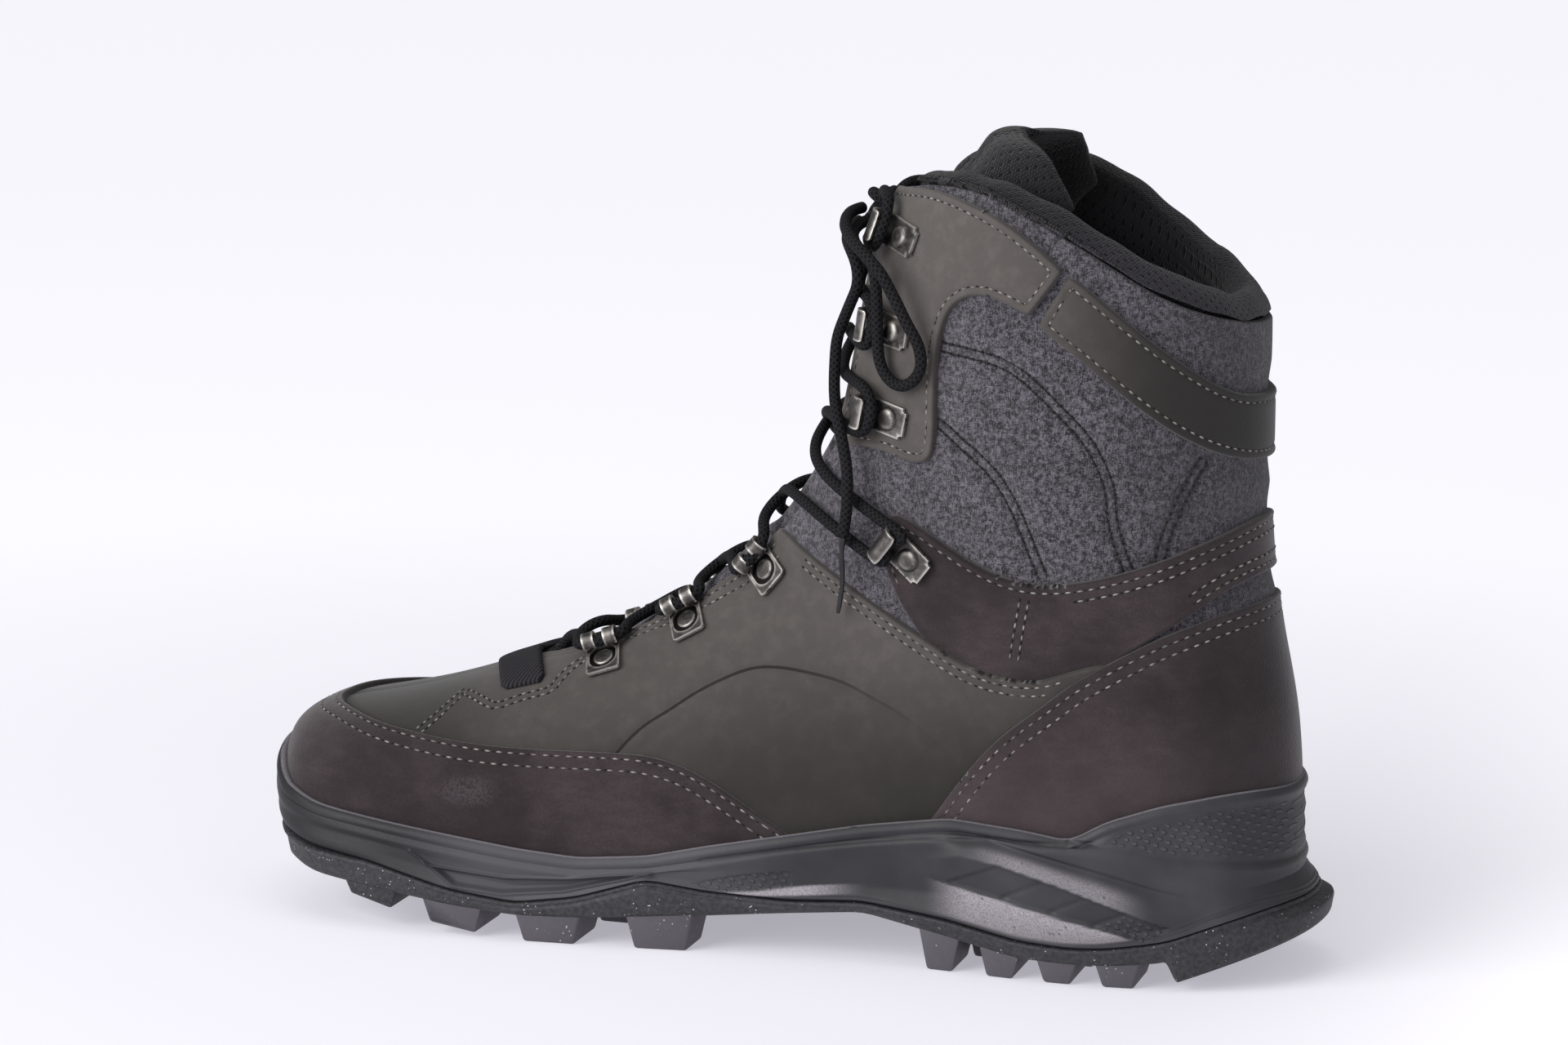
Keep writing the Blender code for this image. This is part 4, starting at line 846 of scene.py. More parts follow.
def strand(first_side):
    """One half of the lace, from under the strap through a ring or hook on each side in turn to the knot."""
    points = lace_route(LACE_START, first_side)
    before = None
    for number, row in enumerate(PLATES):
        side = first_side * (-1) ** number
        place = plate_frame(row, side)
        curl = curl_of(row)
        centre, step = curl_centre(place, curl), curl.plate_wide * LACE_REACH * place[2]
        spot = np.array([row.u, side * row.v])
        if before is not None:
            for turn in INSTEP_OVER if "ankle" in row.name else LACE_OVER:
                over = before + np.array([turn.along, turn.across]) * (spot - before)
                points.append(on_last(*over, turn.out))
        pulled = [centre + ANKLE_PULL * place[1]] if "ankle" in row.name else []
        points += [centre - step, *pulled, centre + step]
        before = spot
    return np.array(points + lace_route(LACE_STOP, side))


def distances(line):
    """How far along a line each of its points lies."""
    return np.concatenate([[0], np.cumsum(np.linalg.norm(np.diff(line, axis=0), axis=1))])


def even_steps(reach, spacing):
    return np.linspace(0, reach[-1], max(2, int(round(reach[-1] / spacing)) + 1))


def even_line(points, spacing):
    """Points at even distances along a smooth curve through the given ones."""
    columns = [spline(np.asarray(points)[:, k]) for k in range(3)]
    fine = np.stack([at(np.linspace(0, len(points) - 1, 60 * len(points))) for at in columns], -1)
    reach = distances(fine)
    steps = even_steps(reach, spacing)
    return np.stack([np.interp(steps, reach, fine[:, k]) for k in range(3)], -1)


def tube(name, line, radius, material, replaces=(), sides=14):
    """A closed round tube along a line in millimetres; radius is one number or one for each point."""
    count = len(line)
    radius = np.broadcast_to(radius, count)
    ahead = np.gradient(line, axis=0)
    ahead /= np.linalg.norm(ahead, axis=1, keepdims=True)
    first = np.cross(ahead[0], [0.0, 0.3, 1.0])
    normals = [first / np.linalg.norm(first)]
    for direction in ahead[1:]:
        normal = normals[-1] - (normals[-1] @ direction) * direction
        normals.append(normal / np.linalg.norm(normal))
    normals = np.array(normals)
    sideways = np.cross(ahead, normals)
    reach = distances(line)
    cap = np.concatenate([[0, 0], np.arange(count), [count - 1, count - 1]]).astype(int)
    width = np.concatenate([[0, 0.75 * radius[0]], radius, [0.75 * radius[-1], 0]])
    push = np.concatenate([[-0.55 * radius[0], -0.4 * radius[0]], np.zeros(count),
                           [0.4 * radius[-1], 0.55 * radius[-1]]])
    rings = len(cap) - 1

    def ring_of(share):
        return np.rint(share * rings).astype(int)

    def place(share, turn):
        ring = ring_of(share)
        row = cap[ring]
        angle = -2 * np.pi * turn[:, None]
        round_it = np.cos(angle) * normals[row] + np.sin(angle) * sideways[row]
        return line[row] + push[ring, None] * ahead[row] + width[ring, None] * round_it

    def uv_place(share, turn):
        return np.column_stack([reach[cap[ring_of(share)]], turn])

    mesh = closed_grid(rings, sides, place, uv_place)
    bmesh.ops.recalc_face_normals(mesh, faces=mesh.faces)
    return add_piece(name, mesh, material, replaces)


def few_points(line):
    """A cord's path, thinned out to a few dozen points."""
    return world(line[np.linspace(0, len(line) - 1, 32).round().astype(int)])


def make_lace():
    for side, word in ((1, "first"), (-1, "second")):
        tube(f"lace_strand_{word}", even_line(strand(side), 1.0), LACE_RADIUS, CORD,
             ("lace_bars",) if side == 1 else ())
    angle = np.linspace(0, 2 * np.pi, 40)
    wrap = np.stack([-2.2 * np.sin(3 * angle), 2.3 * (np.sin(angle) + 2 * np.sin(2 * angle)),
                     0.8 + 1.7 * (np.cos(angle) - 2 * np.cos(2 * angle))], -1)
    wrap = wrap + on_last(np.array(KNOT_SECTION), np.array(0.0), KNOT_OVER)
    knot = tube("lace_knot_wrap", even_line(wrap, 0.9), LACE_RADIUS, CORD, ("lace_knot",))
    for side, word in HANDS:
        loop = even_line(lace_route(LOOP, side), 1.0)
        piece = tube(f"bow_loop_{word}", loop, LACE_RADIUS, CORD, (f"lace_loop_{word}",))
        world(loop[0])
        few_points(loop)
        end = even_line(lace_route(END, side), 1.0)
        reach = distances(end)
        free = end[reach <= reach[-1] - TIP_LENGTH]
        tip = end[reach >= reach[-1] - TIP_LENGTH - TIP_OVERLAP]
        piece = tube(f"hanging_end_{word}", free, LACE_RADIUS, CORD, (f"lace_end_{word}",))
        share = np.linspace(0, 1, len(tip))
        slim = np.interp(share, [0, 0.1, 0.2, 0.94, 1], [1.3, 1.1, TIP_RADIUS, TIP_RADIUS, 0.5])
        aglet = tube(f"cord_tip_{word}", tip, slim, TIP)
        world(free[0])
        few_points(free)


make_lace()

# The sole's side: heights and outward offsets of its lines, close to the part's

Side = namedtuple(
    "Side", "x rim band_top band_low crease parting root out_rim out_band out_crease out_parting out_root")
SIDES = [
    Side(-138.5, 48.5, 43.5, 37.0, 32.0, 28.0, 19.5, 6.3, 6.4, 4.8, 2.6, -1.0),
    Side(-134.5, 38.4, 35.0, 30.8, 27.7, 25.0, 17.0, 5.9, 6.7, 6.0, 5.0, 3.2),
    Side(-123, 33.8, 31.0, 28.0, 24.5, 21.5, 14.0, 5.2, 6.4, 6.4, 6.8, 5.2),
    Side(-105, 31.5, 28.6, 25.2, 22.5, 19.5, 12.0, 5.2, 6.2, 6.0, 6.6, 5.5),
    Side(-83, 28.8, 25.5, 21.5, 18.0, 13.8, 9.2, 5.2, 6.2, 5.0, 6.6, 6.0),
    Side(-64, 26.3, 23.0, 18.5, 15.5, 11.4, 7.6, 5.2, 6.2, 4.8, 6.6, 6.2),
    Side(-47, 24.9, 21.7, 18.8, 17.0, 14.0, 8.0, 5.2, 6.2, 4.8, 6.4, 6.2),
    Side(-28, 26.5, 23.5, 22.2, 21.2, 20.0, 9.5, 5.2, 6.0, 5.0, 5.8, 6.0),
    Side(-12, 30.2, 26.5, 23.0, 20.0, 17.6, 10.6, 5.2, 5.6, 4.4, 4.8, 5.0),
    Side(11, 34.9, 31.5, 26.0, 20.5, 16.4, 12.6, 5.2, 5.4, 3.6, 4.2, 3.6),
    Side(32, 39.3, 35.5, 30.0, 22.0, 17.6, 14.4, 5.2, 5.8, 3.4, 4.0, 3.2),
    Side(56, 43.0, 39.0, 34.5, 22.0, 15.2, 10.0, 5.2, 7.2, 4.2, 6.5, 5.0),
    Side(76, 41.4, 38.2, 33.5, 18.0, 11.4, 6.4, 5.2, 8.0, 4.6, 7.8, 6.8),
    Side(89, 39.6, 38.4, 32.0, 15.5, 10.6, 6.0, 5.4, 8.2, 4.8, 8.2, 7.2),
    Side(98, 45.3, 38.2, 30.5, 14.6, 11.0, 6.2, 5.4, 8.2, 5.0, 8.2, 7.4),
    Side(112, 50.4, 36.8, 28.0, 16.0, 13.4, 7.6, 5.6, 8.2, 5.6, 8.4, 7.8),
    Side(126, 53.2, 35.2, 27.5, 20.5, 19.0, 12.0, 5.2, 7.8, 7.4, 9.0, 9.4),
    Side(134, 53.8, 34.0, 28.0, 24.0, 22.0, 15.0, 4.6, 6.6, 7.4, 9.0, 11.0),
    Side(140.6, 53.2, 33.3, 28.8, 25.5, 23.6, 16.5, 4.2, 5.6, 7.8, 9.2, 12.6),
]
PAN = side_points(
    (-160, 28), (-120, 24), (-80, 20), (-40, 19), (0, 22), (40, 28), (80, 33), (160, 36),
)
pan_height = column(PAN, "z")


def eased(rows, name, key="x", width=3.0):
    """A column of a table as a function of its key, with its corners eased over a few millimetres."""
    at = column(rows, name, key)
    weights = {-1.0: 0.25, 0.0: 0.5, 1.0: 0.25}
    return lambda x: sum(weight * at(np.asarray(x) + shift * width) for shift, weight in weights.items())


rim_height = eased(SIDES, "rim")
RIM_TUCK = 8


def rim_depth(points):
    """The distance from the hidden edge of a panel, which is tucked under the sole's rim."""
    return points[..., 2] - rim_height(points[..., 0]) + RIM_TUCK


# The upper's panels

Throat = namedtuple("Throat", "u half")
THROATS = [
    Throat(6.45, -3.0), Throat(6.6, 2.5), Throat(6.75, 6.0), Throat(7.1, 9.0), Throat(8.0, 10.5),
    Throat(10.0, 10.5), Throat(12.0, 11.0), Throat(14.0, 14.5), Throat(16.0, 18.0), Throat(18.0, 17.5),
    Throat(20.0, 16.5), Throat(22.9, 15.0),
]
throat_half = column(THROATS, "half", "u")
TOE_RAND = side_points(
    (-140, 57), (-133, 56.1), (-126, 55.3), (-120, 54.7), (-113.5, 53.9), (-105, 53.0), (-90, 52.1),
    (-75, 51.5), (-57, 51.8), (-39, 52.3), (-29, 52.0), (-19, 49.8), (-8, 45), (2, 39.4), (13, 33),
    (21, 27.8),
)
HEEL_COUNTER = side_points(
    (42, 30.4), (51, 42.5), (57, 51.4), (64.5, 61), (72, 68.4), (80, 75), (87, 80.9), (94.6, 86),
    (106, 92.7), (116, 97.2), (126, 101), (138, 104), (152, 105.5),
)
ANKLE_BAND = side_points(
    (36, 124), (42, 122), (50, 117.8), (61.5, 111.4), (73.5, 107.6), (87, 108.3), (105.5, 113.4),
    (121, 120.4), (133, 126.4), (152, 132), (152, 112.5), (134, 111), (125, 107), (116, 99.8), (106, 93),
    (94, 84), (84, 80), (74, 79), (63, 80), (54, 84), (46, 89.5), (38.5, 100), (33.8, 110), (33.5, 118),
)
EYESTAY = side_points(
    (-20, 138), (31, 141), (40, 138.2), (46, 138), (48.8, 142), (48.5, 160), (48.6, 168), (50.5, 177),
    (54, 182.4), (60, 185), (67, 183.2), (72.5, 180.6), (74.2, 180.2), (75.4, 181.4), (82, 190.6),
    (82.9, 192.2), (81.6, 193.6), (75, 199), (66, 204.8), (54, 209.3), (44, 211), (34, 209.8),
    (-20, 208),
)
CUFF_BAND = side_points(
    (77.3, 178.9), (83.8, 189.8), (84.8, 190.8), (86.4, 190.2), (92.3, 185.5), (100.3, 178.9),
    (108.3, 172.1), (116, 166.2), (123, 161), (130, 158), (160, 156.5), (160, 139.5), (133, 140.3),
    (127, 141.7), (120, 144.8), (112.6, 149.2), (104.8, 154.8), (96.8, 161.3), (88.6, 168.3),
    (78.6, 175.6), (76.9, 177.2),
)
# Lines drawn on the vamp and the wool
ARC = [
    (-39, 52), (-33, 59), (-26, 64), (-19, 69), (-10, 74), (-2, 77), (6, 77.6), (14, 77), (23, 75.6),
    (31, 72.7), (40, 69), (48, 64), (56, 57), (61, 50),
]
WOOL_SEAMS = [
    [(48, 170), (50.6, 169.6), (64, 167.6), (74, 162.7), (83, 154.6), (91, 145.7), (96, 134.5), (97, 126),
     (102, 111)],
    [(48, 149.4), (50, 148.6), (57, 143.7), (65, 137), (72, 126), (79, 109)],
    [(119, 142), (116, 136), (112, 126), (109, 114)],
]


def throat_depth(points, u, v):
    """The distance from the throat's edge."""
    gap = np.abs(points[..., 1] - SECTION_AT["middle"](u)) - throat_half(u)
    return np.where(np.abs(wrapped(v)) > 0.5, 99.0, gap)


rand_depth = outline_depth(side_curve(TOE_RAND, 50) + [(24, 5), (-240, 5), (-240, 70)], 1)
counter_depth = outline_depth(side_curve(HEEL_COUNTER, 40) + [(230, 105.5), (230, 5), (36, 5)], 1)
band_depth = outline_depth(ANKLE_BAND)
stay_outline = outline_depth(EYESTAY)
cuff_depth = outline_depth(CUFF_BAND)
edge_vs = np.linspace(0.01, 1, 60)
edge_line = last(vamp_edge(edge_vs), edge_vs)[:, [0, 2]]
vamp_line = outline_depth(list(edge_line) + [(260, 72), (260, -60), (-260, -60), (-260, 150), (-40, 150)], 1)
collar_line = outline_depth(COLLAR + [(260, 176), (260, -60), (-160, -60), (-160, 206)], 1)
arc_depth = outline_depth(side_curve(ARC, 40) + [(61, 20), (-50, 20)], 0)


def stay_depth(points, u, v):
    return np.minimum(stay_outline(points, u, v), throat_depth(points, u, v))


def vamp_depth(points, u, v):
    return np.minimum(vamp_line(points, u, v), throat_depth(points, u, v))


def vamp_cut(points, u, v):
    """The vamp's edge where it shows, and a hidden one under the rand and the sole's rim."""
    hidden = np.minimum(rim_depth(points), 5 - rand_depth(points, u, v))
    return np.minimum(vamp_depth(points, u, v), hidden)


def wool_cut(points, u, v):
    return np.minimum(collar_line(points, u, v), throat_depth(points, u, v))


def above_rim(depth):
    """A panel's depth, with a hidden edge under the sole's rim."""
    return lambda points, u, v: np.minimum(depth(points, u, v), rim_depth(points))


def sway(points, size, pitch):
    """Soft unevenness of a hand-lasted skin."""
    x, y, z = (points[..., k] / pitch for k in range(3))
    return size * (np.sin(x + 1.7 * z) + np.sin(1.3 * z - 0.8 * y + 1) + np.sin(0.7 * x + 1.1 * y + 2)) / 3


def grooves(deep, rows, press=0.28, width=0.55):
    """Stitch rows pull the skin in, and the edge outside them puffs up."""
    pulled = sum(-press * bump(deep - row, width) for row in rows)
    return pulled + 0.22 * bump(deep - 0.45 * rows[0], 0.5 * rows[0])


def flat_base(height):
    return lambda points, u, v: np.full(np.shape(u), float(height))


def wool_top(points, u, v, deep):
    x, z = points[..., 0], points[..., 2]
    out = sway(points, 0.35, 11)
    for seam in WOOL_SEAMS:
        far = line_distance(seam, x, z)
        out = out - 0.55 * bump(far - 1.25, 0.7) - 0.5 * bump(far, 4.5)
    near = -np.maximum.reduce([depth(points, u, v) for depth in (stay_depth, cuff_depth, band_depth)])
    return out + 0.75 * smooth_step(0.5, 9, near) - 0.2


VAMP_ROWS = (2.0, 4.3)
RAND_ROWS = (1.7, 4.8)
COUNTER_ROWS = (2.2, 5.2)
STAY_ROWS = (2.4,)
BAND_ROWS = (2.2, 4.8)
CUFF_ROW = 2.3


def vamp_top(points, u, v, deep):
    edge = vamp_line(points, u, v)
    arc = arc_depth(points, u, v)
    fade = smooth_step(66, 10, points[..., 0])
    out = VAMP_STEP + 0.55 * smooth_step(7, 1.5, edge) + sway(points, 0.3, 19)
    out = out + 0.5 * smooth_step(-0.3, 2.4, arc) * fade - 0.6 * bump(arc + 0.2, 0.9) * fade
    return out + grooves(vamp_depth(points, u, v), VAMP_ROWS)


# The distance from the arc line, which the nubuck uses to paint shade in the arc's groove.
def vamp_crease(points, u, v):
    return np.clip(arc_depth(points, u, v) + 0.2, -NO_CREASE, NO_CREASE)


def rand_top(points, u, v, deep):
    return VAMP_STEP + OVERLAY + GAP + sway(points, 0.25, 16) + grooves(deep, RAND_ROWS)


def under_counter(points, u, v):
    return VAMP_STEP * smooth_step(1.1, -0.3, u - vamp_edge(v))


def counter_top(points, u, v, deep):
    return under_counter(points, u, v) + OVERLAY + GAP + sway(points, 0.25, 18) + grooves(deep, COUNTER_ROWS)


def band_top(points, u, v, deep):
    near = vamp_line(points, u, v)
    return 1.35 - 0.5 * smooth_step(-5, -1, near) + sway(points, 0.25, 12) + grooves(deep, BAND_ROWS[:1])


def stay_top(points, u, v, deep):
    return OVERLAY + GAP + sway(points, 0.2, 15) + grooves(deep, STAY_ROWS, 0.4)


def make_upper():
    panel("shaft_wool", Window(12.4, 22.95, 200, 0.06, 1.94, 320), wool_cut, flat_base(-1.2), wool_top,
          WOOL, ("upper",))
    panel("vamp", Window(0, 14.8, 330, -0.88, 0.88, 300), vamp_cut, flat_base(-0.6), vamp_top,
          NUBUCK, crease=vamp_crease)
    panel("toe_rand_suede", Window(0, 11.6, 280, -0.92, 0.92, 280), above_rim(rand_depth),
          flat_base(VAMP_STEP), rand_top, SUEDE, ("toe_rand",))
    panel("heel_counter_suede", Window(9.4, 16.4, 190, 0.45, 1.55, 210), above_rim(counter_depth),
          under_counter, counter_top, SUEDE, ("heel_counter",))
    panel("ankle_band_suede", Window(12.3, 18.4, 150, 0.22, 1.78, 300), band_depth, flat_base(0), band_top,
          SUEDE, ("ankle_band",))
    panel("cuff_band_nubuck", Window(16.2, 22.4, 150, 0.34, 1.66, 260), cuff_depth, flat_base(0), stay_top,
          NUBUCK, ("cuff_band",))
    for word, low, high in (("in", 0.06, 0.64), ("out", -0.64, -0.06)):
        panel(f"eyestay_{word}", Window(15.4, 22.95, 190, low, high, 110), stay_depth, flat_base(0), stay_top,
              NUBUCK, (f"shaft_eyestay_{word}",))


make_upper()

# Collar, tongue and inside


def cloth_scale(wide, long):
    """The uv of a grid, in millimetres of cloth."""
    return lambda share, turn: np.column_stack([turn * wide, share * long])


PadPoint = namedtuple("PadPoint", "out up")
PAD = [
    PadPoint(0.9, 1.0), PadPoint(1.2, 3.2), PadPoint(-0.6, 6.2), PadPoint(-3.6, 7.6),
    PadPoint(-6.8, 6.4), PadPoint(-8.4, 3.2), PadPoint(-8.4, -6.0), PadPoint(-6.6, -10.0),
    PadPoint(-3.7, -11.0), PadPoint(-3.7, 1.0),
]
PAD_ENDS = 2 / 13, 24 / 13
PAD_GIRTH, COLLAR_ROUND = 46, 262
PAD_FAR_LIFT, PAD_NEAR_DROP, PAD_BACK = 2.2, 2.4, 1.6


def ring_spline(values):
    """A closed spline through one column of a table."""
    values = np.asarray(values, float)
    at = spline(np.concatenate([values[-3:], values, values[:4]]))
    return lambda share: at(3 + share * len(values))


def make_collar_pad():
    out_at, up_at = ring_spline([p.out for p in PAD]), ring_spline([p.up for p in PAD])
    middle = np.array([np.mean([p.out for p in PAD]), np.mean([p.up for p in PAD])])

    def place(share, turn):
        v = PAD_ENDS[0] + turn * (PAD_ENDS[1] - PAD_ENDS[0])
        ends = np.sqrt(np.clip(1 - np.maximum(np.abs(2 * turn - 1) * 1.02 - 0.96, 0) ** 2 / 0.0036, 0, 1))
        u = collar_section(wrapped(v))
        out = last_normal(u, v)
        rise = last_ahead(u, v, out)
        section = np.stack([out_at(share), up_at(share)], -1)
        ripple = 0.35 * np.sin(turn * 41) + 0.25 * np.sin(turn * 97 + 1)
        section[:, 1] += np.where(section[:, 1] > 0, ripple, 0)
        lift = np.where(section[:, 1] > 0, PAD_FAR_LIFT, 0)
        section[:, 1] += lift * smooth_step(0.56, 0.68, turn) * smooth_step(1.0, 0.88, turn)
        section[:, 1] -= np.where(section[:, 1] > 2, PAD_NEAR_DROP, 0) * smooth_step(0.36, 0.14, turn)
        section[:, 0] -= PAD_BACK * bump(turn - 0.5, 0.12)
        section = middle + (section - middle) * ends[:, None]
        return last(u, v) + section[:, :1] * out + section[:, 1:] * rise

    mesh = closed_grid(54, 300, place, cloth_scale(COLLAR_ROUND, PAD_GIRTH))
    bmesh.ops.recalc_face_normals(mesh, faces=mesh.faces)
    pad = add_piece("collar_roll", mesh, MESH, ("collar_pad",))


Tongue = namedtuple("Tongue", "u reach")
TONGUES = [
    Tongue(6.2, 0.10), Tongue(7.5, 0.19), Tongue(10.0, 0.21), Tongue(13.0, 0.24), Tongue(17.0, 0.29),
    Tongue(19.6, 0.34), Tongue(20.6, 0.42), Tongue(22.2, 0.475), Tongue(23.0, 0.46), Tongue(23.6, 0.42),
]
TONGUE_FOOT, TONGUE_CROWN, TONGUE_DROP, TONGUE_THICK = 6.2, 23.5, 1.3, 5.0
TONGUE_TURN = 22.8
TONGUE_BULGE = 2.2
TONGUE_STEP_FROM, TONGUE_STEP_TO, TONGUE_STEP = 18.8, 20.3, 6.6
TONGUE_WOOL_TO = 18.4


def tongue_spot(share, reach):
    crown = TONGUE_CROWN + 0.35 * bump(reach + 0.55, 0.35) - TONGUE_DROP * np.abs(reach) ** 4
    u = TONGUE_FOOT + share * (crown - TONGUE_FOOT)
    far = 1 - np.where(reach < 0, 0.11, 0) * smooth_step(20.4, 22, u)
    return u, far * reach * column(TONGUES, "reach", "u")(u)


def make_tongue():
    def place(share, turn):
        face = np.abs(2 * turn - 1) * 2 - 1
        reach = np.sin(face * np.pi / 2)
        u, v = tongue_spot(share, reach)
        over, back = np.maximum(u - TONGUE_TURN, 0), 3.0 * smooth_step(21.0, 22.6, u)
        u = np.minimum(u, TONGUE_TURN)
        middle = np.clip(1 - (last(u, v)[..., 1] / 8) ** 2, 0, 1)
        out = -WALL - 4 * GAP + TONGUE_BULGE * middle * smooth_step(TONGUE_FOOT + 1, TONGUE_FOOT + 2, u)
        out = out + VAMP_STEP * (1 - smooth_step(12.6, 13.1, u))
        out = out - TONGUE_STEP * smooth_step(TONGUE_STEP_FROM, TONGUE_STEP_TO, u)
        sides = np.sqrt(np.clip(1 - np.abs(reach) ** 10, 0, 1))
        crown = np.sqrt(np.clip(1 - np.clip((share - 0.955) / 0.045, 0, 1) ** 2, 0, 1))
        full = sides * crown * smooth_step(0, 0.05, share)
        puff = 0.35 * np.sin(share * 60) * bump(reach, 0.7) * smooth_step(0.72, 0.8, share)
        lean = np.stack([8.1 * over + 5.5 * over ** 2 + back, 0 * over, 10.7 * over - 6.0 * over ** 2], -1)
        half = np.where(turn > 0.5, -TONGUE_THICK / 2, TONGUE_THICK / 2 + puff)
        return lean + on_last(u, v, out - TONGUE_THICK / 2 + full * half)

    mesh = closed_grid(220, 150, place, cloth_scale(190, 175))
    bmesh.ops.recalc_face_normals(mesh, faces=mesh.faces)
    limit = world(last(np.array(TONGUE_WOOL_TO), np.array(0.0)))[2]
    for face in mesh.faces:
        face.material_index = int(face.calc_center_median().z > limit)
    tongue = add_piece("tongue_padded", mesh, [WOOL, MESH], ("tongue",))


LINING_FROM = 7.0


def make_lining():
    """The inner face of the upper, which turns its mesh to the foot."""
    def place(share, turn):
        u = LINING_FROM + share * (collar_section(wrapped(0.06 + turn * 1.88)) - LINING_FROM)
        edge = solve(lambda v: throat_half(u) + 0.5 - np.abs(last(u, v)[..., 1] - SECTION_AT["middle"](u)),
                     np.full(u.shape, 0.01), np.full(u.shape, 0.5))
        return on_last(u, edge + turn * (2 - 2 * edge), np.full(np.shape(u), -WALL - 0.1))

    mesh = closed_grid(120, 220, place, cloth_scale(COLLAR_ROUND, 170), flip=True)
    return add_piece("lining", mesh, LINING)


BED_OVER, BED_THICK = 4.3, 3


def make_insole():
    def place(share, turn):
        u = 0.9 + share * 12.0
        inset = np.full(u.shape, -WALL - 1.0)
        sides = []
        for side in (1, -1):
            def above(v):
                return on_last(u, side * v, inset)[..., 2] - pan_height(last(u, side * v)[..., 0]) - BED_OVER

            v = solve(above, np.full(u.shape, 0.3), np.full(u.shape, 0.98))
            sides.append(on_last(u, side * v, inset))
        return sides[0] + turn[:, None] * (sides[1] - sides[0])

    mesh = closed_grid(90, 30, place, cloth_scale(80, 270))
    if sum(face.normal.z for face in mesh.faces) < 0:
        bmesh.ops.reverse_faces(mesh, faces=mesh.faces)
    insole = add_piece("footbed", mesh, LINING, ("insole",))
    wall = insole.modifiers.new("thickness", "SOLIDIFY")
    wall.thickness, wall.offset = BED_THICK * MM, -1


make_collar_pad()
make_tongue()
make_lining()
make_insole()

# The sole


def sole_ring(count):
    """Points round the upper's foot, inner side then outer side, with their outward directions in plan."""
    us = np.concatenate([
        np.linspace(0, 1.5, 60), np.linspace(1.52, 12.4, 300), np.linspace(12.42, 13.4, 200)])
    heel = float(solve(lambda u: 44.0 - last(u, 1.0)[..., 2], 12.0, 14.5))
    us = us[us < heel]
    sides = []
    for side in (1, -1):
        def above(v):
            point = last(us, side * v)
            return point[..., 2] - 30 - 14 * smooth_step(-20, 70, point[..., 0])

        v = solve(above, np.full(us.shape, 0.05), np.ones(us.shape))
        foot = np.concatenate([last(us, side * v), last([heel], [1.0])])[:, :2]
        closer = 0.55 + smooth_step(38, 48, foot[1:, 0]) * smooth_step(125, 116, foot[1:, 0])
        closer = closer + smooth_step(-105, -95, foot[1:, 0]) * smooth_step(-10, -22, foot[1:, 0])
        reach = np.concatenate([[0], np.cumsum(closer * np.linalg.norm(np.diff(foot, axis=0), axis=1))])
        steps = np.linspace(0, reach[-1], count + 1)
        sides.append(np.stack([np.interp(steps, reach, foot[:, k]) for k in (0, 1)], -1))
    loop = np.concatenate([sides[0], sides[1][-2:0:-1]])
    reach = distances(np.concatenate([loop, loop[:1]]))
    around = [np.concatenate([loop, loop, loop, loop[:1]])[:, k] for k in (0, 1)]
    marks = np.concatenate([reach[:-1] - reach[-1], reach[:-1], reach[:-1] + reach[-1], [2 * reach[-1]]])

    def chords(values):
        return sum(np.interp(reach[:-1] + far, marks, values) - np.interp(reach[:-1] - far, marks, values)
                   for far in (1.5, 3.0, 4.5, 6.0, 7.5, 9.0))

    ahead = np.stack([chords(values) for values in around], -1)
    ahead /= np.linalg.norm(ahead, axis=1, keepdims=True)
    return loop, np.stack([ahead[:, 1], -ahead[:, 0]], -1)


SOLE_FOOT, SOLE_OUT = sole_ring(440)
AT = {name: eased(SIDES, name) for name in Side._fields if name != "x"}
Level = namedtuple("Level", "height drop offset more parts")
MIDSOLE = [
    Level("rim", 1.5, "out_rim", -3.6, 2), Level("rim", 0.25, "out_rim", -2.2, 3),
    Level("rim", 0, "out_rim", -0.9, 3), Level("rim", 0.7, "out_rim", 0, 4),
    Level("rim", 2.2, "out_rim", 0.7, 5), Level("rim", 3.6, "out_rim", 0.1, 6),
    Level("band_top", 0, "out_band", -0.8, 6), Level("band_top", 2.0, "out_band", 0, 10),
    Level("band_low", 0, "out_band", -0.8, 26), Level("crease", 0, "out_crease", 0, 14),
    Level("parting", 0, "out_parting", 0, 3), Level("parting", 0.6, "out_parting", -4, 0),
]
OUTSOLE = [
    Level("parting", 0.2, "out_parting", -4, 3), Level("parting", 0.25, "out_parting", 0.1, 3),
    Level("parting", 0.9, "out_parting", 0.5, 4), Level("parting", 1.7, "out_parting", 0.2, 3),
    Level("parting", 2.5, "out_root", 0.9, 6), Level("root", -0.8, "out_root", 0.2, 4),
    Level("root", 0, "out_root", -0.8, 0),
]
TREAD_LINE = side_points(
    (-150, 18), (-128, 12.8), (-113, 9), (-101, 6), (-90, 3.6), (-75, 1.2), (-64, 0), (110, 0),
    (119, 2.6), (160, 17.8),
)
tread_height = column(TREAD_LINE, "z")
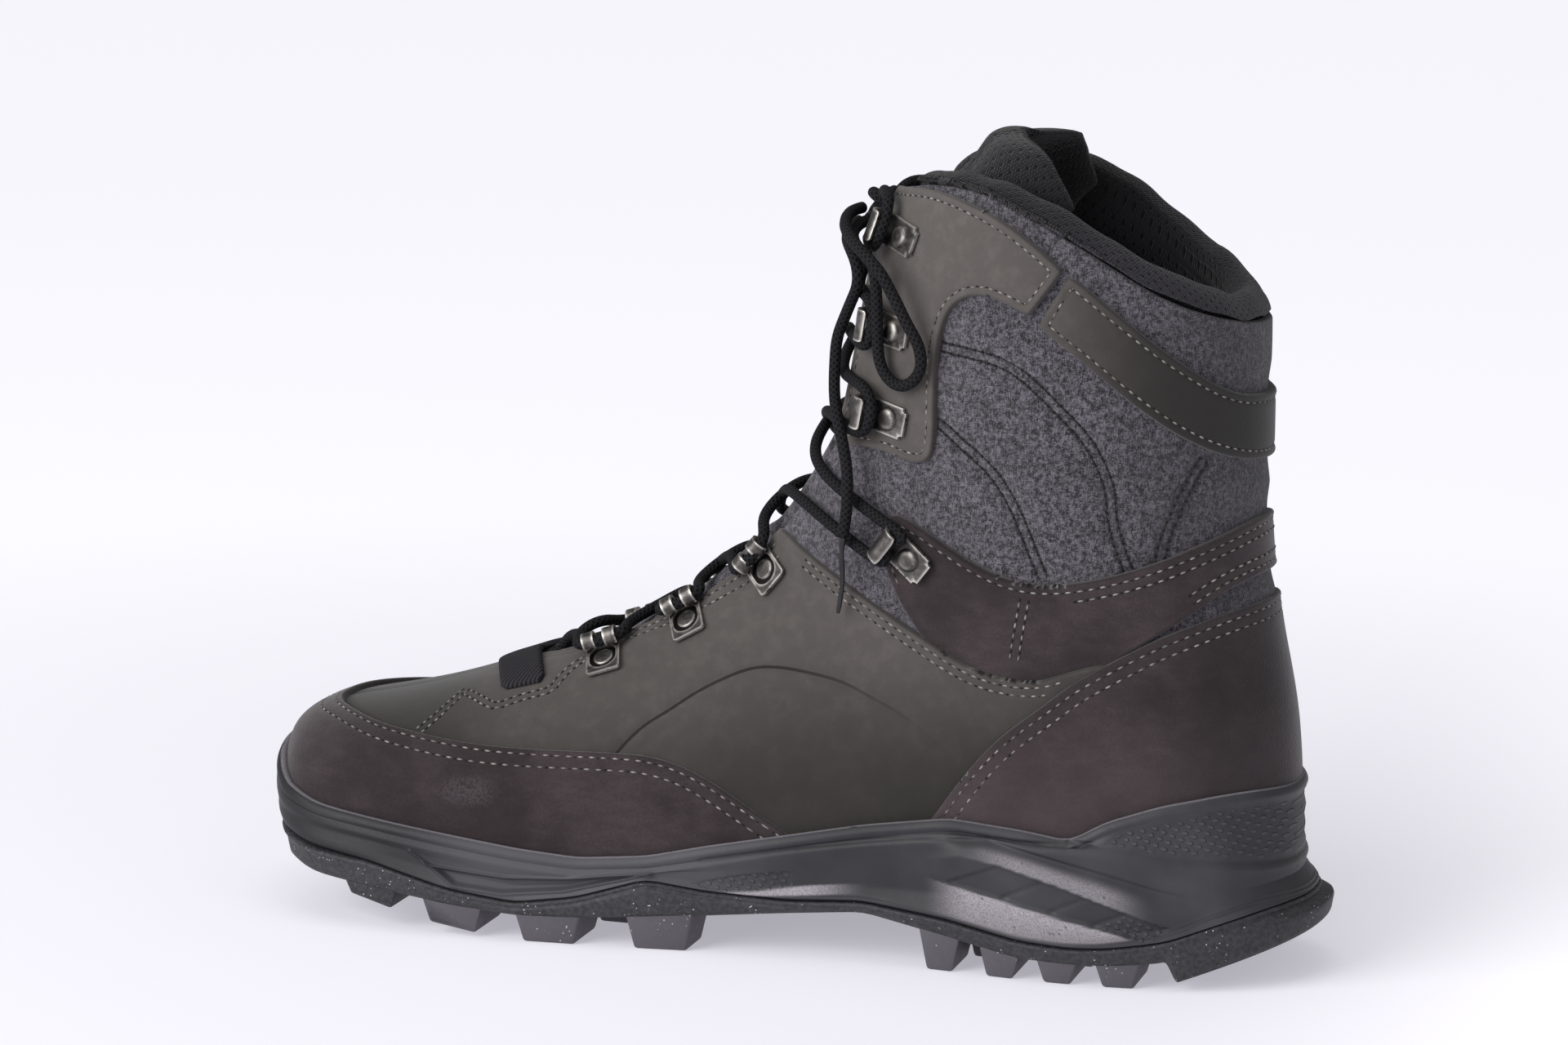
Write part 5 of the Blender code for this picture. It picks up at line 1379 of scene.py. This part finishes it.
# Lines of the moulded side
WING_LOW = [
    (42, 36.7), (67, 38.0), (79, 35.6), (99, 31.0), (114, 26.9), (125, 24.4), (138, 24.2), (150, 26.0),
]
WING_TOP = [(89, 39.5), (100, 38.9), (110, 37.5), (121, 36.1), (128, 35.4), (142, 33.9), (156, 33.0)]
UNDER_RIM = [(-12, 26.5), (10, 31), (33, 35), (59, 39.2), (74, 38.1), (89, 38.6)]
PANEL_UP = [(50, 31), (60, 33.6), (71, 32.2), (88, 27.5), (107, 21), (118, 17.6)]
PANEL_LOW = [(42, 27.5), (50, 26.3), (56, 24.8), (72, 21.3), (90, 17.2), (109, 13.5), (118, 12.4)]
PANEL_AREA = [
    (55, 25.4), (70, 32.0), (88, 27.2), (107, 20.7), (117, 17.2), (110, 13.6), (90, 17.6), (72, 21.7),
]
PANEL_BARS = [[(70, 21.6), (84, 28.9)], [(83, 18.6), (95, 25.0)], [(95, 16.1), (106, 21.4)]]
PATCH = [(97, 15.6), (106, 20.9), (117, 17.4), (110, 13.3)]
LEAF_UP = [(-90, 20.6), (-86, 19.7), (-67, 18.1), (-50, 18.9), (-38, 20.3), (-26, 21.7)]
LEAF_LOW = [(-94, 23.6), (-90, 21), (-81, 14.8), (-67, 13.5), (-50, 15.4), (-35, 19.3), (-26, 21.7)]
CUP_BARS = [[(106, 41.5), (129, 44.8), (156, 43.3)], [(112, 38.9), (133, 39.7), (156, 37.2)]]
CUP_AREA = [
    (98, 39.6), (104, 43.0), (114, 46.0), (128, 49.2), (156, 50.2), (156, 33.4), (142, 34.6),
    (128, 36.1), (112, 38.0),
]
ARCH_AREA = [(-16, 19.6), (-4, 22.8), (12, 25.2), (14, 19.6), (2, 17.9), (-8, 17.0)]
ARCH_SLOPE = [(-12, 17.6), (2, 18.6), (18, 21.4), (36, 23.4), (36, 20.0), (14, 17.6), (0, 16.6)]
Rib = namedtuple("Rib", "line lift width")
RIBS = [
    Rib(LEAF_UP, 0.75, 0.38), Rib(LEAF_LOW, 0.85, 0.42),
    Rib(WING_TOP, -0.6, 0.55), Rib(UNDER_RIM, -0.45, 0.6),
]
RIDGE = 2.6


def height_on(line):
    return lambda x: np.interp(x, [p[0] for p in line], [p[1] for p in line])


def inside(outline, x, z):
    return signed_distance(np.array(outline, float), x, z)[0]


def moulding(x, z):
    """How far the midsole's side stands out from its plain form, where it is stippled, and where it is
    frosted and painted with highlights.
    """
    wing, up, low = (height_on(line)(x) for line in (WING_LOW, PANEL_UP, PANEL_LOW))
    along = smooth_step(46, 64, x) * smooth_step(128, 108, x)
    high = np.clip((wing - z) / np.maximum(wing - up, 0.5), 0, 1)
    under = np.clip((z - low) / np.maximum(up - low, 0.5), 0, 1)
    tuck = -1.0 * bump(high, 0.35) * smooth_step(wing + 1.2, wing, z)
    out = along * np.where(z > up, tuck + RIDGE * high, RIDGE * under)
    slope_a = smooth_step(60, 76, x) * smooth_step(112, 98, x) * smooth_step(0.15, 0.6, high)
    slope_a = slope_a * smooth_step(up - 0.1, up + 0.35, z)
    panels = inside(PANEL_AREA, x, z)
    out = out - 0.7 * smooth_step(0, 0.45, panels)
    for bar in PANEL_BARS:
        out = out - 0.55 * bump(line_distance(bar, x, z), 0.45) * smooth_step(-0.2, 0.4, panels)
    parting = AT["parting"](x)
    slope_b = smooth_step(low + 0.1, low - 0.4, z) * smooth_step(parting + 0.9, parting + 1.8, z)
    slope_b = slope_b * smooth_step(49, 63, x) * smooth_step(116, 98, x)
    slope_b = slope_b * (1 - 0.45 * np.clip((low - z) / np.maximum(low - parting - 1, 1), 0, 1))
    cup = inside(CUP_AREA, x, z)
    out = out - 0.55 * smooth_step(0, 0.8, cup)
    for bar in CUP_BARS:
        out = out + 0.6 * bump(line_distance(bar, x, z), 0.6) * smooth_step(0, 1, cup)
    for rib in RIBS:
        out = out + rib.lift * bump(line_distance(rib.line, x, z), rib.width)
    leaf = inside(LEAF_UP[1:] + LEAF_LOW[:0:-1], x, z)
    out = out - 0.8 * smooth_step(0, 1.2, leaf)
    for lift in (0.75, 1.7):
        out = out + 0.3 * bump(z - parting - lift, 0.26) * smooth_step(-20, 30, x)
    arch = inside(ARCH_AREA, x, z)
    out = out - 0.5 * smooth_step(0, 1.2, arch)
    strip = smooth_step(0, 0.7, inside(ARCH_SLOPE, x, z)) * smooth_step(-12, 0, x) * smooth_step(34, 14, x)
    stipple = np.maximum.reduce([
        smooth_step(0, 0.8, cup), smooth_step(0, 0.6, inside(PATCH, x, z)), 0.8 * smooth_step(0, 1, arch)])
    return out, stipple, np.maximum.reduce([0.55 * slope_a, slope_b, 0.9 * strip])


def ease_rows(table, rounds):
    """Smooths a table down its rows, and holds its first and last one."""
    for _ in range(rounds):
        table[1:-1] = 0.25 * table[:-2] + 0.5 * table[1:-1] + 0.25 * table[2:]


def side_rows(levels, eases=3):
    """Heights and offsets round the sole, a row for each fine level, with the profile's corners eased."""
    x = SOLE_FOOT[:, 0]
    heights = np.array([AT[row.height](x) - row.drop for row in levels])
    offsets = np.array([AT[row.offset](x) + row.more for row in levels])
    parts = [k + np.arange(row.parts) / row.parts for k, row in enumerate(levels[:-1])]
    steps = np.concatenate(parts + [[len(levels) - 1]])
    low = np.minimum(steps.astype(int), len(levels) - 2)
    part = (steps - low)[:, None]
    rows = [(1 - part) * table[low] + part * table[low + 1] for table in (heights, offsets)]
    for table in rows:
        ease_rows(table, eases)
    plain = rows[1].copy()
    ease_rows(plain, 12 * eases)
    rows[1] += smooth_step(-98, -124, x) * (plain - rows[1])
    return rows


def ring_mesh(points):
    """A closed band from rows of points round the sole, in millimetres, from the top row down."""
    rows, count = points.shape[:2]
    mesh = closed_grid(rows - 1, count, lambda along, across: points[
        np.rint(along * (rows - 1)).astype(int), np.rint(across * count).astype(int) % count])
    outward = 0
    for face in mesh.faces:
        spot = face.calc_center_median()
        outward += face.normal.x * (spot.x - 0.01) + face.normal.y * spot.y
    if outward < 0:
        bmesh.ops.reverse_faces(mesh, faces=mesh.faces)
    return mesh


PLAIN_ROWS, RIM_ROWS, RIM_FROST_AND_HIGHLIGHT = 4, 7, 0.4


def make_midsole():
    heights, offsets = side_rows(MIDSOLE)
    plan = SOLE_FOOT + offsets[..., None] * SOLE_OUT
    out, stipple, frost_and_highlight = moulding(plan[..., 0], heights)
    out[:PLAIN_ROWS], out[-PLAIN_ROWS:] = 0, 0
    # The rim gets frosting and a painted highlight.
    frost_and_highlight[:RIM_ROWS] = RIM_FROST_AND_HIGHLIGHT
    plan = plan + out[..., None] * SOLE_OUT
    points = np.concatenate([plan, heights[..., None]], -1)
    mesh = ring_mesh(points)
    spots = np.round(world(points.reshape(-1, 3)), 6)
    marked = {tuple(spot): values for spot, values in zip(spots, zip(stipple.ravel(), frost_and_highlight.ravel()))}
    places = np.round(np.array([vert.co for vert in mesh.verts], float), 6)
    marks = np.array([marked.get(tuple(spot), (0.0, 0.0)) for spot in places])
    add_piece("midsole_moulded", mesh, SOLE, ("midsole",),
              attributes={"stipple": marks[:, 0], "frost_and_highlight": marks[:, 1]})


Lug = namedtuple("Lug", "side x0 x1 y0 y1")
LUGS = [Lug(side, x0, x1, 28, 70) for side in (1, -1) for x0, x1 in
        ((-114, -99), (-90, -74), (-63, -46), (-32, -15))]
LUGS += [Lug(side, x0, x1, 20, 60) for side in (1, -1) for x0, x1 in
         ((49, 59), (66, 76), (82, 92), (98, 109))]
LUGS += [Lug(side, x0, x1, 4, 22) for side in (1, -1) for x0, x1 in
         ((-130, -116), (-102, -88), (-77, -63), (-50, -36), (58, 70), (82, 94))]
EDGE_LUG = 25
LUG_LEAN, LUG_DRAFT, LUG_EASE, LUG_SEAT = 1.3, 1.2, 0.9, 2.5
FOOT_ROW = 8


def edge_y(side, inset):
    """The sole's edge at its root, in plan, on one side."""
    half = len(SOLE_FOOT) // 2
    rows = np.arange(0, half + 1) if side == 1 else np.arange(len(SOLE_FOOT), half - 1, -1) % len(SOLE_FOOT)
    plan = SOLE_FOOT[rows] + (AT["out_root"](SOLE_FOOT[rows, 0]) - inset)[:, None] * SOLE_OUT[rows]
    return lambda x: float(np.interp(x, plan[:, 0], plan[:, 1]))


def make_outsole():
    heights, offsets = side_rows(OUTSOLE, 1)
    plan = SOLE_FOOT + offsets[..., None] * SOLE_OUT
    rim = plan[-1]
    drop = smooth_step(115.5, 119.5, rim[:, 0])
    deep = np.maximum(heights[FOOT_ROW] - heights[-1], 0.1)
    fall = np.clip((heights[FOOT_ROW:] - heights[-1]) / deep, 0, 1)
    base = (1 - drop) * heights[-1] + drop * np.minimum(tread_height(rim[:, 0]), heights[-1])
    heights[FOOT_ROW:] = base + fall * (heights[FOOT_ROW] - base)
    partner = (len(SOLE_FOOT) - np.arange(len(SOLE_FOOT))) % len(SOLE_FOOT)
    middle = (rim + rim[partner]) / 2
    under = [np.column_stack([rim + share * (middle - rim), base]) for share in (0.06, 0.25, 0.5, 0.75, 1.0)]
    points = np.concatenate([np.concatenate([plan, heights[..., None]], -1), np.array(under)])
    mesh = ring_mesh(points)
    plain = len(mesh.verts)
    for row in LUGS:
        inner = (edge_y(row.side, 0.2), edge_y(row.side, 1.9)) if row.y1 > EDGE_LUG else None
        block = bmesh.new()
        bmesh.ops.create_cube(block, size=1)
        for vert in block.verts:
            low = vert.co.z < 0
            x = (row.x0 if vert.co.x < 0 else row.x1) + (-LUG_LEAN if low else LUG_LEAN) * np.sign(vert.co.x)
            outer = inner[int(low)](x) if inner else -row.side * (row.y1 - LUG_DRAFT * low)
            y = outer if vert.co.y * -row.side > 0 else -row.side * (row.y0 + LUG_DRAFT * low)
            z = tread_height(x) if low else AT["root"](x) + LUG_SEAT
            vert.co = world([x, y, z])
        bmesh.ops.recalc_face_normals(block, faces=block.faces)
        bmesh.ops.bevel(block, geom=block.edges, offset=LUG_EASE * MM, segments=2, profile=0.5,
                        affect="EDGES", material=-1)
        data = bpy.data.meshes.new("lug")
        block.to_mesh(data)
        block.free()
        mesh.from_mesh(data)
        bpy.data.meshes.remove(data)
    lug = np.arange(len(mesh.verts)) >= plain
    piece = add_piece("outsole_lugged", mesh, TREAD, ("outsole",), attributes={"lug": lug})
    piece.data.set_sharp_from_angle(angle=np.radians(40))


make_midsole()
make_outsole()

# Hardware


def rounded(t, s, low, high, half, ease):
    """How deep a spot of a blank lies inside a rectangle with eased corners."""
    along = np.abs(t - (low + high) / 2) - (high - low) / 2 + ease
    across = np.abs(s) - half + ease
    corner = np.hypot(np.maximum(along, 0), np.maximum(across, 0))
    return ease - corner - np.minimum(np.maximum(along, across), 0)


def ring_shape(t, s):
    """An open frame whose two bars roll round the lace."""
    eye, slot = rounded(t, s, -4.6, 4.6, 3.9, 3.7), rounded(t, s, 3.0, 60, 1.4, 0.5)
    return np.minimum(rounded(t, s, -6.4, 60, 4.9, 1.1), -np.maximum(eye, slot))


def hook_plate(t, s, half):
    """A plate with notched corners."""
    corner = np.minimum(-4.7 - t, np.abs(s) - 3.2)
    return np.minimum(rounded(t, s, -6, 17.1, half, 0.9), -corner)


def fork_shape(t, s):
    return np.minimum(hook_plate(t, s, 4.3), -rounded(t, s, 7.4, 13.9, 1.4, 1.0))


def pin_shape(t, s):
    return np.minimum(hook_plate(t, s, 4.3), np.hypot(t - 12.4, s) - 0.8)


def leaf_shape(t, s):
    return np.minimum(hook_plate(t, s, 4.3 + 0.06 * np.maximum(t - 7, 0)), rounded(t, s, -60, 17.1, 9, 6.5))


DOME = [(0.0, 2.15), (1.3, 2.1), (2.3, 1.9), (2.9, 1.6), (3.2, 1.25), (3.3, 1.02), (3.6, 1.02), (3.6, 0.2)]
DISC = [(0.0, 0.6), (2.2, 0.7), (2.7, 0.62), (2.9, 0.34), (3.0, 0.14), (4.3, 0.12), (4.3, -0.3)]
ROLL_SHAPES = {"ankle_hook": leaf_shape, "shaft_hook_1": pin_shape}


def pressed(name, place, curl, shape, node, cell=0.42):
    """A flat blank cut to shape, with its end rolled round the lace."""
    centre, across, ahead, out = place
    length = curl.plate_long + np.radians(curl.turn) * curl.radius
    mesh = bmesh.new()
    low, wide = -curl.plate_long / 2 - 1.6, curl.plate_wide + 1.2
    length -= low + curl.plate_long / 2
    steps = int(round(length / cell)), int(round(wide / cell))
    bmesh.ops.create_grid(mesh, x_segments=steps[0], y_segments=steps[1], size=0.5)
    bmesh.ops.transform(mesh, matrix=Matrix.Diagonal((length, wide, 1, 1)), verts=mesh.verts)
    bmesh.ops.translate(mesh, verts=mesh.verts, vec=(length / 2 + low, 0, 0))
    t, s, _ = spots_of(mesh.verts)
    cut_away(mesh, shape(t, s) > REACH)
    t, s, _ = spots_of(mesh.verts)
    for _ in range(6):
        deep = np.minimum(shape(t, s), 0)
        slope_t = (shape(t + REACH, s) - shape(t - REACH, s)) / (2 * REACH)
        slope_s = (shape(t, s + REACH) - shape(t, s - REACH)) / (2 * REACH)
        steep = np.maximum(slope_t ** 2 + slope_s ** 2, 0.3)
        t, s = t - deep * slope_t / steep, s - deep * slope_s / steep
    angle = np.maximum(t - curl.plate_long / 2, 0) / curl.radius
    flat_t = np.minimum(t, curl.plate_long / 2) + curl.radius * np.sin(angle)
    lift = curl.thick / 2 + curl.radius * (1 - np.cos(angle))
    place_verts(mesh, centre + flat_t[:, None] * across + s[:, None] * ahead + lift[:, None] * out)
    wear_and_painted_light = smooth_step(0.75, 0.05, shape(t, s))
    piece = add_piece(name, mesh, METAL, (node,), attributes={"wear_and_painted_light": wear_and_painted_light})
    wall = piece.modifiers.new("gauge", "SOLIDIFY")
    wall.thickness, wall.offset = curl.thick * MM, 0
    ease = piece.modifiers.new("eased", "BEVEL")
    ease.width, ease.segments = 0.22 * MM, 2
    ease.limit_method, ease.angle_limit = "ANGLE", np.radians(50)


def rivet(name, place, profile):
    """A turned rivet head on a plate."""
    head = bmesh.new()
    line = [head.verts.new((r * MM, 0, h * MM)) for r, h in profile]
    edges = [head.edges.new(pair) for pair in zip(line, line[1:])]
    bmesh.ops.spin(head, geom=line + edges, cent=(0, 0, 0), axis=(0, 0, 1), angle=2 * np.pi, steps=32,
                   use_merge=True)
    bmesh.ops.remove_doubles(head, verts=head.verts, dist=0.001 * MM)
    bmesh.ops.recalc_face_normals(head, faces=head.faces)
    reach = np.array([np.hypot(vert.co.x, vert.co.y) for vert in head.verts]) / MM
    turn = Vector(place[3]).to_track_quat("Z", "Y").to_matrix().to_4x4()
    bmesh.ops.transform(head, matrix=Matrix.Translation(world(place[0])) @ turn, verts=head.verts)
    # A bright ring on the head, worn and partly painted highlight, and painted shade on a disc's flange.
    wear_and_painted_light = 0.5 * bump(reach - profile[2][0], 0.35) - smooth_step(2.9, 3.0, reach) * (profile is DISC)
    piece = add_piece(name, head, METAL, attributes={"wear_and_painted_light": wear_and_painted_light})
    piece.data.set_sharp_from_angle(angle=np.radians(48))


def make_hardware():
    for row in PLATES:
        ring = "ring" in row.name
        shape = ring_shape if ring else ROLL_SHAPES.get(row.name, fork_shape)
        for side, word in HANDS:
            place, name = plate_frame(row, side), f"{row.name}_{word}"
            pressed(name + "_pressed", place, curl_of(row), shape, name)
            rivet(name + "_rivet", place, DISC if ring else DOME)


STRAP_LOW, STRAP_HIGH, STRAP_REACH, STRAP_THICK = 6.2, 6.88, 0.185, 1.1


def make_strap():
    """The woven strap over the foot of the throat."""
    def depth(points, u, v):
        level = u + 0.27 - 2.9 * np.sqrt(v * v + 0.0004)
        across = STRAP_PER_U * np.minimum(level - STRAP_LOW, STRAP_HIGH - level)
        return np.minimum(across, STRAP_PER_V * (STRAP_REACH - np.abs(v)))

    low = VAMP_STEP + 2 * GAP
    panel("lace_tab_webbing", Window(5.9, 7.3, 70, -0.2, 0.2, 110), depth, flat_base(low),
          lambda points, u, v, deep: np.full(np.shape(u), low + STRAP_THICK), WEBBING, ("lace_tab",))


make_strap()
make_hardware()

# Stitching


def side_spot(x, z, side):
    """The u and v of a side-view point, on the inner side, 1, or the outer, -1."""
    us, vs = np.meshgrid(np.linspace(0.3, 22.9, 110), side * np.linspace(0.02, 0.98, 60), indexing="ij")
    points = last(us, vs)
    k = np.argmin(np.hypot(points[..., 0] - x, points[..., 2] - z))
    u, v = us.ravel()[k], vs.ravel()[k]
    for _ in range(8):
        here = last(u, v)[[0, 2]]
        by_u, by_v = last(u + REACH, v)[[0, 2]] - here, last(u, v + REACH)[[0, 2]] - here
        slope = np.stack([by_u / REACH, by_v / REACH], -1)
        step = np.linalg.lstsq(slope, np.array([x, z]) - here, rcond=None)[0]
        u, v = u + np.clip(step[0], -0.3, 0.3), v + np.clip(step[1], -0.03, 0.03)
    return u, v


def trace(depth, start, level, pitch, stop, turn=1, limit=400):
    """Spots a stitch apart along the line at that depth, from a start until stop(point) holds."""
    u, v = slide(depth, [start[0]], [start[1]], level, 12)
    found = [(u[0], v[0])]
    for _ in range(limit):
        _, a, b, e, f, g = around_spot(depth, u, v)
        du, dv = -b * turn, a * turn
        length = np.sqrt(e * du * du + 2 * f * du * dv + g * dv * dv)
        u, v = slide(depth, u + du * pitch / length, v + dv * pitch / length, level, 2)
        point = last(u, v)[0]
        closed = len(found) > 8 and np.linalg.norm(point - last(*found[0])) < 0.7 * pitch
        if closed or stop(point, u[0], v[0]):
            break
        found.append((u[0], v[0]))
    return np.array(found).T


def along_row(spots, pitch):
    """Spots a stitch apart along a row given by u and v."""
    columns = [spline([spot[k] for spot in spots]) for k in (0, 1)]
    fine = np.array([at(np.linspace(0, len(spots) - 1, 50 * len(spots))) for at in columns])
    reach = distances(last(*fine))
    steps = even_steps(reach, pitch)
    return np.array([np.interp(steps, reach, values) for values in fine])


class Stitching:
    """Many small stitches, gathered into one piece."""

    def __init__(self):
        seed = bmesh.new()
        bmesh.ops.create_icosphere(seed, subdivisions=1, radius=1)
        self.shape = np.array([vert.co for vert in seed.verts])
        self.seed = bpy.data.meshes.new("stitch")
        seed.to_mesh(self.seed)
        seed.free()
        self.points = []

    def add(self, centre, ahead, out, size):
        axes = np.stack([ahead, np.cross(out, ahead), out]) * np.array(size)[:, None]
        self.points.append(centre + self.shape @ axes)

    def finish(self, name, material):
        mesh = bmesh.new()
        for _ in self.points:
            mesh.from_mesh(self.seed)
        place_verts(mesh, np.concatenate(self.points))
        bpy.data.meshes.remove(self.seed)
        return add_piece(name, mesh, material)


LIGHT, DARK, HOLE_SHADES = Stitching(), Stitching(), Stitching()


def sew(spots, height, thread, share=0.58, thick=0.3, shift=0.0):
    """Lays stitches on a row of spots; height is over the last, and shift is sideways in millimetres."""
    u, v = spots
    pick = thread if callable(thread) else lambda point: thread
    points = last(u, v)
    normals = last_normal(u, v)
    lift = height(points, u, v) if callable(height) else np.full(len(u), height)
    points = points + lift[:, None] * normals
    run = np.gradient(points, axis=0)
    sideways = np.cross(normals, run)
    points = points + shift * sideways / np.linalg.norm(sideways, axis=1, keepdims=True)
    for here, there, out in zip(points, points[1:], normals):
        run = there - here
        length = np.linalg.norm(run)
        ahead = run / length
        out = out - (out @ ahead) * ahead
        out /= np.linalg.norm(out)
        pick(here).add((here + there) / 2 + 0.1 * out, ahead, out, (share * length / 2, thick, 0.8 * thick))
        # A dark dot of painted shade at each needle hole.
        HOLE_SHADES.add(here, ahead, out, (0.6, 0.46, 0.14))


def beyond(x, to_toe=True):
    """Stops a row on the outer side, once it is past x towards the toe or, if not to_toe, the heel."""
    return lambda point, u, v: point[1] > 0 and (point[0] < x if to_toe else point[0] > x)


def all_round(point, u, v):
    """Lets a row go on until it meets its start."""
    return False


def at_counter(point, u, v):
    return counter_depth(point[None], np.array([u]), np.array([v]))[0] > -1.2


def shaded_stay_thread(point):
    """Light thread, swapped for dark thread as painted shade where the eyestay borders the wool."""
    return DARK if point[0] > 46 and point[2] < 176 else LIGHT


def level_top(top, level):
    return lambda points, u, v: top(points, u, v, np.full(np.shape(u), level))


FRONT_SEAM = [(5.82, 0.150), (5.65, 0.199), (5.49, 0.233), (5.30, 0.264)]
ZIGZAG = [
    (5.84, 0.158), (6.20, 0.201), (6.45, 0.224), (6.69, 0.219), (7.01, 0.213), (7.27, 0.208),
    (7.37, 0.188), (7.56, 0.155), (7.77, 0.140), (7.95, 0.136),
]
ANKLE_SEAM = [(14.72, 0.4965), (14.27, 0.486), (13.68, 0.472)]


def sew_upper():
    for level in RAND_ROWS:
        row = trace(rand_depth, side_spot(12, 31, 1), level, 3.3, beyond(12, False), 1)
        sew(row, level_top(rand_top, level), LIGHT)
    for level in COUNTER_ROWS:
        row = trace(counter_depth, side_spot(50, 38, 1), level, 3.2, beyond(50), -1)
        sew(row, level_top(counter_top, level), LIGHT)
    for side in (1, -1):
        for level in VAMP_ROWS:
            row = trace(vamp_line, (13.0, side * 0.2), level, 3.0, at_counter, -side)
            sew(row, level_top(vamp_top, level), LIGHT)
            row = trace(throat_depth, (8.0, side * 0.13), level, 2.7, lambda point, u, v: u > 12.9, -side)
            sew(row, level_top(vamp_top, level), LIGHT)
        for spots in (FRONT_SEAM, ZIGZAG):
            row = along_row([(u, side * v) for u, v in spots], 2.6)
            for shift in (1.15, -1.15):
                sew(row, level_top(vamp_top, 9), LIGHT, shift=shift)
        row = along_row([(u, side * v) for u, v in ANKLE_SEAM], 2.9)
        for shift in (1.2, -1.2):
            sew(row, level_top(band_top, 9), LIGHT, shift=shift)
        row = trace(stay_depth, side_spot(33, 144, side), STAY_ROWS[0], 2.7, all_round, side)
        sew(row, level_top(stay_top, STAY_ROWS[0]), shaded_stay_thread)
        for seam in WOOL_SEAMS:
            row = along_row([side_spot(x, z, side) for x, z in seam], 2.3)
            for shift in (1.25, -1.25):
                sew(row, level_top(wool_top, 9), DARK, 0.62, 0.27, shift)
    row = trace(cuff_depth, side_spot(84, 184, 1), CUFF_ROW, 2.9, all_round, 1)
    sew(row, level_top(stay_top, CUFF_ROW), LIGHT)
    starts = [(39, 104, BAND_ROWS[0], -1), (88, 104, BAND_ROWS[1], -1)]
    starts += [(118, 103.4, level, 1) for level in BAND_ROWS]
    for x, z, level, turn in starts:
        row = trace(band_depth, side_spot(x, z, 1), level, 3.1, beyond(x), turn)
        sew(row, level_top(band_top, level), LIGHT)


sew_upper()
LIGHT.finish("stitches_light", LIGHT_THREAD)
DARK.finish("stitches_dark", DARK_THREAD)
HOLE_SHADES.finish("stitch_hole_shades", HOLE_SHADE)

# Floor and light

Lamp = namedtuple("Lamp", "name spot size power")
LAMPS = [
    Lamp("key_light", (-1.1, -1.55, 0.9), 1.5, 45),
    Lamp("top_light", (-0.1, -0.3, 2.0), 1.4, 9),
    Lamp("fill_light", (1.4, -1.2, 0.9), 1.2, 2),
]
LIT_SPOT = Vector((0, 0, 0.1))


def make_studio():
    mesh = bmesh.new()
    bmesh.ops.create_grid(mesh, x_segments=1, y_segments=1, size=15)
    data = bpy.data.meshes.new("floor")
    mesh.to_mesh(data)
    mesh.free()
    look = Look("lit_table", rough=0.7, Specular_IOR_Level=0.05, Emission_Strength=1.0)
    x, y, _ = look.split(look.place)
    # Painted light: the floor glows. It glows less under and near the boot as a painted contact shadow, and
    # more to the right, lifting the key light's shadow there; near the boot it also reflects more.
    away = look.band(look.math("SQRT", x * x + y * y) + 0.02 * look.noise(0.4, 1), 0.16, 0.75)
    glow = look.mix(look.band(x, 0.1, 0.3), (0.39, 0.38, 0.42, 1), (0.72, 0.71, 0.76, 1))
    look.set(Base_Color=look.mix(away, (0.58, 0.575, 0.6, 1), (0.16, 0.16, 0.17, 1)),
             Emission_Color=look.mix(away, glow, (0.86, 0.85, 0.905, 1)))
    data.materials.append(look.material)
    floor = bpy.data.objects.new("floor", data)
    bpy.context.scene.collection.objects.link(floor)
    sky = bpy.data.worlds.new("studio")
    sky.use_nodes = True
    sky.node_tree.nodes["Background"].inputs["Color"].default_value = (0.97, 0.975, 1.0, 1)
    sky.node_tree.nodes["Background"].inputs["Strength"].default_value = 0.3
    bpy.context.scene.world = sky
    for row in LAMPS:
        data = bpy.data.lights.new(row.name, "AREA")
        data.energy, data.size = row.power, row.size
        lamp = bpy.data.objects.new(row.name, data)
        lamp.location = row.spot
        lamp.rotation_euler = (LIT_SPOT - Vector(row.spot)).to_track_quat("-Z", "Y").to_euler()
        bpy.context.scene.collection.objects.link(lamp)


make_studio()
bpy.context.scene.view_settings.view_transform = "Standard"
